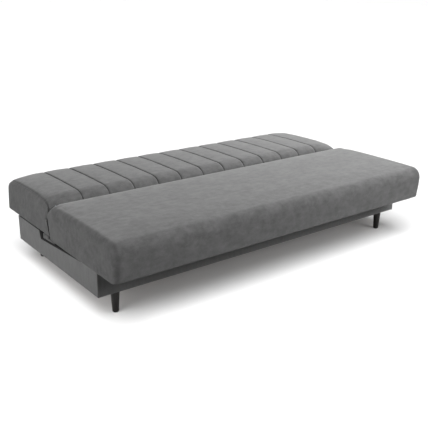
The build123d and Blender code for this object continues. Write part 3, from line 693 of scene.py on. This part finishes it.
# %% Section of the back
BACK_RISE = 5 * MM
BACK_PEAK = back_high.z + BACK_RISE
BACK_PEAK_BEHIND_FRONT = 220 * MM
BACK_LEAN = 2 * MM
BACK_NOSE_ROUND = 46 * MM
BACK_NOSE_DEPTH = 70 * MM
CHIN_DEPTH = 19 * MM
CHIN_HEIGHT = 30 * MM
BACK_REAR_ROUND = 46 * MM
BACK_REAR_FALL = 6 * MM
BACK_REAR_TUCK = 3 * MM
BACK_END_ROUND = 10 * MM
BACK_FRONT_CORNER = 2 * MM
REAR_CORNER_SHARE = 0.5
END_DROOP = 18 * MM
END_DROOP_REACH = 190 * MM
BACK_CLOTH_STEPS = 10
HEM_STEPS = 4
BACK_TOP_STEPS = 30
BACK_REAR_STEPS = 9
FOOT_PULL = 0.3
REAR_PULL = 0.8


def back_line(y):
    """Height of the back's top at this depth, before its ends and seams draw it in."""
    peak = back_low.y + BACK_PEAK_BEHIND_FRONT
    if y > peak:
        behind = (y - peak) / (back_high.y - BACK_REAR_ROUND - peak)
        return BACK_PEAK - BACK_REAR_FALL * behind ** 2
    ahead = (peak - y) / BACK_PEAK_BEHIND_FRONT
    return BACK_PEAK - BACK_LEAN * ahead ** 2


def end_drop(gap):
    """How far the top has fallen, this far from the end: a long droop and the round edge."""
    droop = END_DROOP * max(0.0, 1 - gap / END_DROOP_REACH) ** 2
    return droop + fall(gap, BACK_END_ROUND)


def oval(centre, depth, height, start, end, count):
    """Points of a stretch of an ellipse, angles in degrees, without its last point."""
    return [(centre[0] + depth * y, centre[1] + height * z) for y, z in arc((0, 0), 1, start, end, count)]


def pull_weights(walk, under, quilted, foot, waist):
    """How fully the seams pull at each point: not underneath, and less towards the foot."""
    weights = []
    for place, (y, z) in enumerate(walk):
        if place < under:
            weights.append(0.0)
        elif place < quilted:
            weights.append(min(1.0, FOOT_PULL + (1 - FOOT_PULL) * max(0.0, (z - foot) / (waist - foot))))
        else:
            weights.append(REAR_PULL * max(0.0, (z - foot - HEM_ROUND) / (waist - foot)))
    return weights


def back_section(gap, over_cloth):
    """Points (y, z) round the back, this far from its end, and how fully the seams pull at each."""
    drop = end_drop(gap)
    front = back_low.y + fall(gap, BACK_FRONT_CORNER)
    rear = back_high.y - REAR_CORNER_SHARE * fall(gap, BACK_END_ROUND)
    foot = back_low.z + fall(gap, END_FOOT_ROUND)
    step = UNDER_STEP if over_cloth else 0.0
    hem_rear = rear - BACK_REAR_TUCK - HEM_ROUND
    walk = underside(hem_rear, front + HEM_ROUND, "back_dust_cover", foot, step, BACK_CLOTH_STEPS)
    walk += arc((front + HEM_ROUND, foot + HEM_ROUND), HEM_ROUND, 270, 180, HEM_STEPS)
    under = len(walk)
    nose = (front + BACK_NOSE_DEPTH, back_line(front + BACK_NOSE_DEPTH) - drop - BACK_NOSE_ROUND)
    chin = (front + CHIN_DEPTH, nose[1] - CHIN_HEIGHT)
    walk += run((front, foot + HEM_ROUND), chin, 6)
    walk += oval((chin[0], nose[1]), CHIN_DEPTH, CHIN_HEIGHT, 270, 180, 6)
    walk += oval(nose, BACK_NOSE_DEPTH, BACK_NOSE_ROUND, 180, 90, 14)
    rear_turn = rear - BACK_REAR_ROUND
    for place in range(BACK_TOP_STEPS):
        y = nose[0] + (rear_turn - nose[0]) * place / BACK_TOP_STEPS
        walk.append((y, back_line(y) - drop))
    waist = back_line(rear_turn) - drop - BACK_REAR_ROUND
    walk += arc((rear_turn, waist), BACK_REAR_ROUND, 90, 0, 10)
    quilted = len(walk)
    for place in range(BACK_REAR_STEPS):
        depth = place / BACK_REAR_STEPS
        walk.append((rear - BACK_REAR_TUCK * depth ** 2, waist + (foot + HEM_ROUND - waist) * depth))
    walk += arc((hem_rear, foot + HEM_ROUND), HEM_ROUND, 0, -90, HEM_STEPS)
    return walk, pull_weights(walk, under, quilted, foot, waist)


print("back section:", len(back_section(BACK_END_ROUND, True)[0]), "points")

# %% [markdown]
# Near its ends the back's skin is moved once more. The end face leans in and turns over a round shoulder
# into its seam, and at the fold the nose hangs a little and turns inwards.

# %% Ends of the back
END_LEAN = 9 * MM
END_LEAN_REACH = 80 * MM
END_SHOULDER = 13 * MM
END_SHOULDER_HEIGHT = 34 * MM
NOSE_DROOP = 10 * MM
NOSE_DROOP_ALONG = 100 * MM
NOSE_DROOP_BEHIND = 150 * MM
NOSE_TURN = 8 * MM
NOSE_TURN_BEHIND = 95 * MM
NOSE_TURN_FOOT = 335 * MM
NOSE_TURN_RISE = 40 * MM


def end_lean(point):
    """How far the end face leans in at this point: a slight slope, a round shoulder and the nose's turn."""
    near_end = max(0.0, 1 - (back_high.x - abs(point.x)) / END_LEAN_REACH) ** 2
    seam_height = BACK_PEAK - END_DROOP
    slope = END_LEAN * clamp((point.z - back_low.z) / (seam_height - back_low.z))
    shoulder = END_SHOULDER * clamp(1 - (seam_height - point.z) / END_SHOULDER_HEIGHT) ** 2
    near_front = clamp(1 - (point.y - back_low.y) / NOSE_TURN_BEHIND)
    turn = NOSE_TURN * near_front * clamp((point.z - NOSE_TURN_FOOT) / NOSE_TURN_RISE)
    return (slope + shoulder + turn) * near_end


def nose_droop(point):
    """How far the nose hangs at this point: only near the ends and the fold, and more the higher up."""
    near_end = max(0.0, 1 - (back_high.x - abs(point.x)) / NOSE_DROOP_ALONG)
    near_fold = clamp(1 - (point.y - back_low.y) / NOSE_DROOP_BEHIND)
    height = clamp((point.z - back_low.z) / (BACK_PEAK - back_low.z))
    return NOSE_DROOP * near_end * near_fold * height


print("the nose hangs by up to", round(NOSE_DROOP / MM), "mm")

# %% [markdown]
# The back needs more stations than the seat: they stand close together at every seam, where the skin is
# pinched, and round the ends.

# %% Back panel
SEAM_OFFSETS = (0, 0.9, 2, 3.5, 6, 10, 16, 26, 40, 55)
END_SEAM_OFFSETS = (-3.5, -1.2, 0, 1.2, 3.5, 7, 12, 20, 32, 48)
CLOSEST_STATIONS = 0.4 * MM


def back_stations():
    """Places along X: close together at every seam and round the ends."""
    half = back_high.x
    places = [side * (half - gap) for gap in end_gaps(BACK_END_ROUND) for side in (-1, 1)]
    offsets = [offset * MM for offset in SEAM_OFFSETS] + [CHANNEL_PITCH / 2]
    places += [seam + side * offset for seam in seams for offset in offsets for side in (-1, 1)]
    end_seam = half - END_SEAM_GAP
    places += [side * (end_seam - offset * MM) for offset in END_SEAM_OFFSETS for side in (-1, 1)]
    kept = []
    for place in sorted(places):
        if not kept or place - kept[-1] > CLOSEST_STATIONS:
            kept.append(place)
    return kept


def inward(walk, place):
    """Unit direction into the section at one of its points."""
    before, after = walk[place - 1], walk[(place + 1) % len(walk)]
    direction = Vector((after[0] - before[0], after[1] - before[1]))
    return Vector((direction.y, -direction.x)).normalized()


def make_back():
    """The back's skin, and how many points each of its rings has."""
    half = back_high.x
    cloth_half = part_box("back_dust_cover")[1].x
    rings = []
    for x in back_stations():
        walk, weights = back_section(half - abs(x), abs(x) < cloth_half)
        depth = draw_in(x)
        ring = []
        for place, (y, z) in enumerate(walk):
            pull = inward(walk, place) * depth * weights[place]
            ring.append(Vector((x, y + pull.x, z + pull.y)))
        rings.append(ring)
    points, faces = skin(rings)
    for point in points:
        point.z -= nose_droop(point)
        weight = near_fold_end(point, half, point.y - back_low.y)
        point.y += weight * fold_slant(point, BACK_SLANT, BACK_SLANT_LEVEL)
        point.x -= math.copysign(end_lean(point), point.x)
    return add_piece("back_upholstery", points, faces, velvet), len(rings[0])


back, ring_size = make_back()
print("back upholstery:", len(back.data.polygons), "faces")

# %% [markdown]
# ## Letting the cloth settle
# Foam under a tight cover is never a perfect arc. A coarse copy of each cushion is remeshed into even quads
# and blown up a little as cloth, with no gravity, held where it is stapled or sewn. The fine mesh then
# follows the coarse one: each of its points takes the mean move of the nearest coarse points, and no point
# may move more than a few millimetres. So the cloth's own shape comes in, and the seams stay crisp.

# %% Cloth settling
SETTLE_VOXEL = 13 * MM
SETTLE_PRESSURE = 4.0
SETTLE_FRAMES = 20
SETTLE_CAP = 3.5 * MM
CLOTH_QUALITY = 5
NEIGHBOURS = 8
SHARE_BLUR = 0.3 * SETTLE_VOXEL


def coarse_copy(piece):
    """A remeshed copy of the piece, in even quads."""
    copy = bpy.data.objects.new("settling", piece.data.copy())
    bpy.context.scene.collection.objects.link(copy)
    remesh = copy.modifiers.new("even_quads", "REMESH")
    remesh.mode = "VOXEL"
    remesh.voxel_size = SETTLE_VOXEL
    apply_modifiers(copy)
    return copy


def swell(copy, is_held):
    """Blows the copy up as cloth where it isn't held: its points before, and how far each moved."""
    held = copy.vertex_groups.new(name="held")
    held.add([vertex.index for vertex in copy.data.vertices if is_held(vertex.co)], 1.0, "REPLACE")
    before = [vertex.co.copy() for vertex in copy.data.vertices]
    cloth = copy.modifiers.new("swelling", "CLOTH")
    cloth.settings.vertex_group_mass = "held"
    cloth.settings.use_pressure = True
    cloth.settings.uniform_pressure_force = SETTLE_PRESSURE
    cloth.settings.effector_weights.gravity = 0.0
    cloth.settings.quality = CLOTH_QUALITY
    cloth.point_cache.frame_end = SETTLE_FRAMES
    for number in range(1, SETTLE_FRAMES + 1):
        bpy.context.scene.frame_set(number)
    apply_modifiers(copy)
    return before, [vertex.co - place for vertex, place in zip(copy.data.vertices, before)]


def follow(piece, before, moves):
    """Moves each fine point by the mean move of the coarse points near it: returns the largest move."""
    nearest = KDTree(len(before))
    for number, place in enumerate(before):
        nearest.insert(place, number)
    nearest.balance()
    largest = 0.0
    for vertex in piece.data.vertices:
        found = nearest.find_n(vertex.co, NEIGHBOURS)
        shares = [1 / (distance + SHARE_BLUR) for place, number, distance in found]
        move = sum((moves[hit[1]] * share for hit, share in zip(found, shares)), Vector()) / sum(shares)
        if move.length > SETTLE_CAP:
            move *= SETTLE_CAP / move.length
        largest = max(largest, move.length)
        vertex.co += move
    return largest


def settle(piece, is_held):
    """Lets the piece swell like cloth where it isn't held, and returns its largest move."""
    copy = coarse_copy(piece)
    before, moves = swell(copy, is_held)
    bpy.data.objects.remove(copy)
    bpy.context.scene.frame_set(1)
    return follow(piece, before, moves)


# %% [markdown]
# Held are the edges that are stapled under each panel, the faces that meet in the fold and, on the back,
# every seam with a finger's breadth of cloth beside it.

# %% Settled cushions
SEWN_REACH = 15 * MM
END_SEWN_REACH = 45 * MM


def seat_is_held(point):
    """The seat's cover is stapled underneath and lies tight against the fold."""
    return point.z < seat_low.z + SEWN_REACH or point.y > seat_high.y - SEWN_REACH


def back_is_held(point):
    """The back's cover is also sewn down along every channel and round its ends."""
    sewn = min(abs(point.x - seam) for seam in seams) < SEWN_REACH
    at_end = abs(point.x) > back_high.x - END_SEWN_REACH
    return sewn or at_end or point.z < back_low.z + SEWN_REACH or point.y < back_low.y + SEWN_REACH


for piece, is_held in ((seat, seat_is_held), (back, back_is_held)):
    print(piece.name, "settled by at most", round(settle(piece, is_held) / MM, 2), "mm")

# %% [markdown]
# ## Stitches
# The channels are sewn through the quilt with a thick thread that sinks to the bottom of each groove. A
# groove's bottom is one ring of the skin, so its points give the path. Geometry Nodes turn the path into a
# curve, set a long small bead at every stitch and turn each along the curve. Thread of this kind is 0.5 mm
# thick in stitches of 4 mm. It is drawn three times as thick, to show in the picture.

# %% Stitch nodes
STITCH_PITCH = 6 * MM
STITCH_LENGTH = 4.4 * MM
THREAD_THICK = 1.5 * MM


def row_nodes(name, material, segments, rings):
    """Tree that sets long beads along the edges of a mesh, and its inputs by name."""
    tree = bpy.data.node_groups.new(name, "GeometryNodeTree")
    tree.interface.new_socket("Geometry", in_out="INPUT", socket_type="NodeSocketGeometry")
    inputs = {}
    for label in ("Pitch", "Length", "Thickness"):
        socket = tree.interface.new_socket(label, in_out="INPUT", socket_type="NodeSocketFloat")
        inputs[label] = socket.identifier
    tree.interface.new_socket("Geometry", in_out="OUTPUT", socket_type="NodeSocketGeometry")
    given = add(tree, "NodeGroupInput").outputs
    path = add(tree, "GeometryNodeMeshToCurve", {"Mesh": given["Geometry"]})
    spacing = {"Curve": path.outputs[0], "Length": given["Pitch"]}
    places = add(tree, "GeometryNodeCurveToPoints", spacing, mode="LENGTH")
    ball = add(tree, "GeometryNodeMeshUVSphere", {"Segments": segments, "Rings": rings, "Radius": 0.5})
    turned = add(tree, "FunctionNodeAlignRotationToVector", {"Vector": places.outputs["Tangent"]}, axis="Z")
    thick = given["Thickness"]
    size = add(tree, "ShaderNodeCombineXYZ", {0: thick, 1: thick, 2: given["Length"]})
    row = add(tree, "GeometryNodeInstanceOnPoints", {
        "Points": places.outputs["Points"], "Instance": ball.outputs[0],
        "Rotation": turned.outputs[0], "Scale": size.outputs[0],
    })
    real = add(tree, "GeometryNodeRealizeInstances", {0: row.outputs[0]})
    smooth = add(tree, "GeometryNodeSetShadeSmooth", {0: real.outputs[0]})
    dressed = add(tree, "GeometryNodeSetMaterial", {0: smooth.outputs[0], "Material": material})
    add(tree, "NodeGroupOutput", {0: dressed.outputs[0]})
    return tree, inputs


def make_row(name, paths, tree, inputs, sizes):
    """A plain mesh of what the tree sets along the paths, each a list of points."""
    mesh = bpy.data.meshes.new(name)
    points = [point for path in paths for point in path]
    edges = []
    start = 0
    for path in paths:
        edges += [(start + step, start + step + 1) for step in range(len(path) - 1)]
        start += len(path)
    mesh.from_pydata(points, edges, [])
    piece = bpy.data.objects.new(name, mesh)
    bpy.context.scene.collection.objects.link(piece)
    modifier = piece.modifiers.new("row", "NODES")
    modifier.node_group = tree
    for label, size in sizes.items():
        modifier[inputs[label]] = size
    apply_modifiers(piece)
    return piece


print("stitches are", round(STITCH_PITCH / MM), "mm apart")

# %% [markdown]
# Only the part of a groove that lies well above the foot is stitched. The thread is lifted by a hair, so
# that it doesn't sink into the skin.

# %% Stitches along the seams
STITCHED_ABOVE = 60 * MM
STITCH_LIFT = 0.4 * MM


def seam_path(x):
    """Points along the bottom of the groove at x, from the fold over the top to the rear."""
    stops = back_stations()
    ring = min(range(len(stops)), key=lambda number: abs(stops[number] - x))
    first = (len(CAP_STEPS) + ring) * ring_size
    places = [vertex.co.copy() for vertex in back.data.vertices[first:first + ring_size]]
    high_enough = back_low.z + STITCHED_ABOVE
    return [place + STITCH_LIFT * Vector((0, 0, 1)) for place in places if place.z > high_enough]


end_seams = [side * (back_high.x - END_SEAM_GAP) for side in (-1, 1)]
stitch_tree, stitch_inputs = row_nodes("stitch_row", thread, segments=6, rings=4)
stitch_sizes = {"Pitch": STITCH_PITCH, "Length": STITCH_LENGTH, "Thickness": THREAD_THICK}
stitches = make_row("channel_stitches", [seam_path(x) for x in seams + end_seams],
                    stitch_tree, stitch_inputs, stitch_sizes)
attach(stitches, "back")
print("stitches:", len(stitches.data.polygons), "faces")

# %% [markdown]
# ## Painted shade in the fold
# The back's front face is hidden in the fold when the bed lies flat. It is covered with a thin strip of the
# dark dust cloth instead of velvet: painted shade, which makes the gap in the fold read dark. The strip
# copies that face from the skin, from the foot to halfway round the chin, and stands a hair in front of it.
# In each ring of the skin the face comes right after the underside and its front hem, so the number of points
# in those tells where it starts.

# %% Painted shade in the fold
SHADE_STRIP_THICK = 0.8 * MM
SHADE_STRIP_INSET = 0.8 * MM
FACE_FIRST = MARGIN_STEPS + BACK_CLOTH_STEPS + MARGIN_STEPS + HEM_STEPS
FACE_COUNT = 9


def make_fold_shade():
    """A thin dark strip along the back's face in the fold: painted shade."""
    rings = []
    for ring, x in enumerate(back_stations()):
        if back_high.x - abs(x) < SHADE_STRIP_INSET:
            continue
        first = (len(CAP_STEPS) + ring) * ring_size + FACE_FIRST
        face = [vertex.co.copy() for vertex in back.data.vertices[first:first + FACE_COUNT]]
        outer = [place + Vector((0, -SHADE_STRIP_THICK, 0)) for place in face]
        rings.append(outer + face[::-1])
    points, faces = skin(rings)
    # painted shade: the dark dust cloth over the face in the fold makes the gap there read dark
    return add_piece("fold_lining", points, faces, dust_cloth)


shade_strip = make_fold_shade()
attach(shade_strip, "back")
print("fold lining:", len(shade_strip.data.polygons), "faces")

# %% [markdown]
# ## Riding on the frame
# Each cushion now stands for the cover and the foam that it hides and rides on its hinged panel, so that
# the bed can be folded with its upholstery on.

for piece, body, nodes in (
    (seat, "seat", ("seat_cover", "seat_foam")),
    (back, "back", ("back_cover", "back_foam")),
):
    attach(piece, body)
    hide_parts(*nodes)
print("cushions ride on seat and back")

# %% [markdown]
# ## The bedding box's cover
# Each side of the box is a board with fabric stretched over its outer face. Its upper edge is level at the
# front, slopes down under the seat and steps up again behind the fold, which leaves the dark wedge between
# the box and the seat. The cloth ends a little below the board's edge, except at the front.

# %% Upper edge of the box's sides
side_low, side_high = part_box("base_side_cover_left")
FOLD_Y = frame["joints"][0]["pos_m"][1]
FRONT_TOP = 218 * MM
FRONT_FLAT = 110 * MM
LOW_TOP = 187 * MM
STEP_BEHIND_FOLD = 102 * MM
STEP_SLANT = 14 * MM
FOLD_OVER = 1.0 * MM
REAR_DROP = 4 * MM
DROP_LENGTH = 8 * MM


def side_top(raise_by, rear_drop):
    """Upper edge of a side from front to rear, as points (y, z), lower by the drop behind its level front."""
    front = side_low.y
    slope = front + FRONT_FLAT
    step = FOLD_Y + STEP_BEHIND_FOLD
    lower = raise_by - rear_drop
    return [
        (front, FRONT_TOP + raise_by), (slope, FRONT_TOP + raise_by),
        (slope + DROP_LENGTH, FRONT_TOP + lower), (step, LOW_TOP + lower),
        (step + STEP_SLANT, side_high.z + lower), (side_high.y, side_high.z + lower),
    ]


print("box sides rise to", round(side_high.z / MM), "mm behind the fold")

# %% [markdown]
# The cloth's outline is given thickness and then a soft bevel. A strip of the black dust cloth covers the
# board's bare edge as painted shade, so that the wedge under the seat reads dark: it is one section, folded
# over the edge and down both faces, and skinned along the edge.

# %% Box covers
INSIDE_FLAP = 32 * MM
OUTSIDE_FLAP = 10 * MM
COVER_BEVEL = 2.4 * MM
PANEL_BEVEL = 1.2 * MM
SHARP_ANGLE = math.radians(20)


def soften(piece, width, segments=3):
    """Rounds every sharp edge of a mesh by a live bevel, applied at once."""
    bevel = piece.modifiers.new("soft_edges", "BEVEL")
    bevel.width = width
    bevel.segments = segments
    bevel.limit_method = "ANGLE"
    bevel.angle_limit = SHARP_ANGLE
    apply_modifiers(piece)


def plate(name, outline, x_first, x_last, material):
    """A flat plate between two places along X with that outline of (y, z)."""
    size = len(outline)
    points = [(x, y, z) for x in (x_first, x_last) for y, z in outline]
    faces = [tuple(range(size)), tuple(range(size, 2 * size))]
    faces += [(place, (place + 1) % size, size + (place + 1) % size, size + place) for place in range(size)]
    return add_piece(name, points, faces, material)


def flap(path, x_outer, x_inner):
    """Rings of the dark strip of painted shade that folds over the board's upper edge and down both its
    faces.
    """
    thick = math.copysign(FOLD_OVER, x_outer - x_inner)
    rings = []
    for y, z in path:
        over, outside, inside = z + FOLD_OVER, z - OUTSIDE_FLAP, z - INSIDE_FLAP
        ring = [
            (x_outer + thick, outside), (x_outer + thick, over),
            (x_inner - thick, over), (x_inner - thick, inside),
            (x_inner, inside), (x_inner, z), (x_outer, z), (x_outer, outside),
        ]
        rings.append([Vector((x, y, height)) for x, height in ring])
    return rings


def make_side_cover(side):
    """Outer cloth of one side, and the dark strip of painted shade folded over its board's upper edge."""
    name = "base_side_cover_" + side
    low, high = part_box(name)
    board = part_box("base_side_" + side)
    outer, skin_inner = (low.x, high.x) if side == "left" else (high.x, low.x)
    inner = board[1].x if side == "left" else board[0].x
    outline = side_top(FOLD_OVER, REAR_DROP) + [(high.y, low.z), (low.y, low.z)]
    cloth = plate("box_side_cloth_" + side, outline, outer, skin_inner, box_fabric)
    soften(cloth, COVER_BEVEL)
    points, faces = skin(flap(side_top(0.0, 0.0), skin_inner, inner))
    # painted shade: a dark strip over the board's upper edge makes the wedge under the seat read dark
    shade_strip = add_piece("box_lining_" + side, points, faces, dust_cloth)
    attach(cloth, "base")
    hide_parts(name)
    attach(shade_strip, "base")
    return cloth


def make_panel_cover(face):
    """Outer cloth of the box's front or rear."""
    name = f"base_{face}_cover"
    low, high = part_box(name)
    outline = [(low.y, low.z), (high.y, low.z), (high.y, high.z), (low.y, high.z)]
    cloth = plate(f"box_{face}_cloth", outline, low.x, high.x, box_fabric)
    soften(cloth, PANEL_BEVEL)
    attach(cloth, "base")
    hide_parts(name)
    return cloth


covers = [make_side_cover(side) for side in ("left", "right")]
covers += [make_panel_cover(face) for face in ("front", "rear")]
print("box covers:", [cover.name for cover in covers])

# %% [markdown]
# ## The ledge under the fold
# A padded strip behind the seat's rear edge closes the fold from below when the bed lies flat. It is a
# batten wrapped in the same velvet, full at its ends, with an underside that sags towards the rear. So a
# copy of the solid is stretched at those faces and its edges are made soft. The copy is merged first,
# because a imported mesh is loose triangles.

# %% Velvet ledge
LEDGE_SAG = 7 * MM
LEDGE_FULLNESS = 6 * MM
LEDGE_ROUND = 2.2 * MM
FACE_REACH = 2 * MM
MERGE_DISTANCE = 0.01 * MM


def make_ledge():
    mesh = frame["nodes"]["seat_rear_ledge"].data.copy()
    shape = bmesh.new()
    shape.from_mesh(mesh)
    bmesh.ops.remove_doubles(shape, verts=shape.verts, dist=MERGE_DISTANCE)
    bmesh.ops.dissolve_limit(shape, angle_limit=math.radians(1), verts=shape.verts, edges=shape.edges)
    low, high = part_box("seat_rear_ledge")
    for vertex in shape.verts:
        if vertex.co.z < low.z + FACE_REACH:
            vertex.co.z -= LEDGE_SAG * (vertex.co.y - low.y) / (high.y - low.y)
        if abs(vertex.co.x) > high.x - FACE_REACH:
            vertex.co.x += math.copysign(LEDGE_FULLNESS, vertex.co.x)
    shape.to_mesh(mesh)
    shape.free()
    mesh.materials.clear()
    mesh.materials.append(velvet)
    ledge = bpy.data.objects.new("ledge_upholstery", mesh)
    bpy.context.scene.collection.objects.link(ledge)
    soften(ledge, LEDGE_ROUND)
    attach(ledge, "seat")
    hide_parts("seat_rear_ledge")
    return ledge


ledge = make_ledge()
print("ledge:", len(ledge.data.polygons), "faces")

# %% [markdown]
# ## The turned legs
# A leg comes off a lathe, so one profile turned about the leg's own axis gives its shape: a slim taper with
# a tiny round at the foot and a crisp shoulder under the box.

# %% Turned legs
LEG_SIDES = 48
LEG_STEPS = 12
LEG_EDGE = 1.5 * MM
LEG_TOP_RADIUS = 20 * MM
LEG_FOOT_RADIUS = 14.5 * MM


def turned_profile(low, high):
    """Points (radius, z) of a leg from the foot's centre to the top's centre."""
    profile = [(0.35 * LEG_FOOT_RADIUS, low), (LEG_FOOT_RADIUS - LEG_EDGE, low)]
    profile += [(LEG_FOOT_RADIUS - LEG_EDGE + radius, low + LEG_EDGE + height)
                for radius, height in arc((0, 0), LEG_EDGE, -60, 30, 4)]
    for step in range(1, LEG_STEPS):
        share = step / LEG_STEPS
        radius = LEG_FOOT_RADIUS + (LEG_TOP_RADIUS - LEG_FOOT_RADIUS) * share
        profile.append((radius, low + 2 * LEG_EDGE + (high - low - 3 * LEG_EDGE) * share))
    profile += [(LEG_TOP_RADIUS, high - LEG_EDGE), (LEG_TOP_RADIUS - 0.4 * LEG_EDGE, high - 0.3 * LEG_EDGE)]
    profile += [(LEG_TOP_RADIUS - LEG_EDGE, high), (0.5 * LEG_TOP_RADIUS, high)]
    return profile


def make_leg(node):
    low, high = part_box(node)
    centre = (low + high) / 2
    angles = [math.tau * place / LEG_SIDES for place in range(LEG_SIDES)]
    rings = []
    for radius, z in turned_profile(low.z, high.z):
        circle = [(radius * math.cos(angle), radius * math.sin(angle)) for angle in angles]
        rings.append([Vector((centre.x + x, centre.y + y, z)) for x, y in circle])
    points, faces = skin(rings)
    leg = add_piece("turned_" + node, points, faces, leg_black)
    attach(leg, "base")
    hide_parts(node)
    return leg


legs = [make_leg(f"{row}_{side}_leg") for row in ("front", "rear") for side in ("left", "right")]
print("legs:", [leg.name for leg in legs])

# %% [markdown]
# ## Studio
# The bed stands on a white sweep and throws a soft grey shadow that ends close to it. The floor and the
# world are white for rays of the camera, of gloss and of glass, and much darker for the light that they
# throw back, so that the white costs no contrast on the bed. A faint glow of the floor keeps the shadow
# from going too dark.

# %% Floor and world
FLOOR_SIZE = 60.0
FLOOR_WHITE = (0.8, 0.8, 0.8, 1.0)
FLOOR_BOUNCE = linear("#343434")
FLOOR_GLOW = 0.085
WHITE = (1.0, 1.0, 1.0, 1.0)
AMBIENT = 0.01


def seen_rays(tree):
    """Socket that is one for rays of the camera, of gloss and of glass, which all show the background."""
    path = add(tree, "ShaderNodeLightPath").outputs
    seen = path["Is Camera Ray"]
    for kind in ("Is Glossy Ray", "Is Transmission Ray"):
        seen = add(tree, "ShaderNodeMath", {0: seen, 1: path[kind]}, operation="MAXIMUM").outputs[0]
    return seen


def make_floor():
    material, tree, shader, place = start_material("white_sweep", 0.9)
    seen = seen_rays(tree)
    shade = blend_colours(tree, seen, FLOOR_BOUNCE, FLOOR_WHITE)
    tree.links.new(shade, shader.inputs["Base Color"])
    shader.inputs["Specular IOR Level"].default_value = 0.0
    glow = add(tree, "ShaderNodeMath", {0: seen, 1: FLOOR_GLOW}, operation="MULTIPLY")
    shader.inputs["Emission Color"].default_value = WHITE
    tree.links.new(glow.outputs[0], shader.inputs["Emission Strength"])
    half = FLOOR_SIZE / 2
    corners = [(-half, -half, 0), (half, -half, 0), (half, half, 0), (-half, half, 0)]
    floor = add_piece("studio_floor", corners, [(0, 1, 2, 3)], material)
    return floor


def make_world():
    world = bpy.data.worlds.new("studio")
    world.use_nodes = True
    tree = world.node_tree
    tree.nodes.clear()
    seen = seen_rays(tree)
    ambient = add(tree, "ShaderNodeBackground", {"Color": WHITE, "Strength": AMBIENT})
    white = add(tree, "ShaderNodeBackground", {"Color": WHITE, "Strength": 1.0})
    mixed = add(tree, "ShaderNodeMixShader", {0: seen, 1: ambient.outputs[0], 2: white.outputs[0]})
    add(tree, "ShaderNodeOutputWorld", {"Surface": mixed.outputs[0]})
    bpy.context.scene.world = world


floor = make_floor()
make_world()
print("floor and world are white")

# %% [markdown]
# The bed and the floor each have their own lamps: light linking lets a lamp shine on chosen pieces only, so
# the bed's shading and its shadow can be set apart. Soft boxes at the right, front and left and two wide
# washes light the bed. One more soft box, a high key and a wash draw the shadow on the floor.

# %% Lamps
SOFTBOX_SIZE = 1.5


def add_sun(name, strength, spread, direction):
    """A far lamp shining along the direction, with soft edges of that spread in degrees."""
    lamp = bpy.data.lights.new(name, "SUN")
    lamp.energy = strength
    lamp.angle = math.radians(spread)
    sun = bpy.data.objects.new(name, lamp)
    sun.rotation_euler = Vector(direction).to_track_quat("-Z", "Y").to_euler()
    bpy.context.scene.collection.objects.link(sun)
    return sun


def add_softbox(name, power, place, aim):
    """A square soft lamp at a place, turned towards a point of the bed."""
    lamp = bpy.data.lights.new(name, "AREA")
    lamp.energy = power
    lamp.size = SOFTBOX_SIZE
    softbox = bpy.data.objects.new(name, lamp)
    softbox.location = place
    softbox.rotation_euler = (Vector(aim) - Vector(place)).to_track_quat("-Z", "Y").to_euler()
    bpy.context.scene.collection.objects.link(softbox)
    return softbox


def light_only(name, lamps, pieces):
    """Links the lamps to these pieces, so that they light nothing else."""
    lit = bpy.data.collections.new(name)
    for piece in pieces:
        lit.objects.link(piece)
    for lamp in lamps:
        lamp.light_linking.receiver_collection = lit


bed_pieces = [piece for piece in bpy.data.objects if piece.type == "MESH" and piece is not floor]
bed_lamps = [
    add_softbox("right_softbox", 44, (2.3, 0.9, 2.0), (0.5, 0.1, 0.3)),
    add_softbox("front_softbox", 38, (1.7, -2.4, 1.85), (0.4, -0.3, 0.3)),
    add_softbox("left_softbox", 15, (-2.8, 0.3, 0.5), (-0.9, 0.1, 0.25)),
    add_sun("front_wash", 0.95, 50, (-0.5, 0.65, -0.72)),
    add_sun("left_wash", 0.56, 50, (0.9, 0.1, -0.4)),
]
floor_lamps = [
    add_softbox("floor_front_softbox", 24, (1.6, -2.4, 1.6), (0.4, -0.3, 0.3)),
    add_sun("floor_key", 3.7, 48, (0.3, 0.36, -1.0)),
    add_sun("floor_left_wash", 2.0, 50, (0.9, 0.1, -0.4)),
]
light_only("lit_bed", bed_lamps, bed_pieces)
light_only("lit_floor", floor_lamps, [floor])
bpy.context.scene.view_settings.view_transform = "Standard"
print("lamps:", len(bed_lamps), "for the bed and", len(floor_lamps), "for the floor")
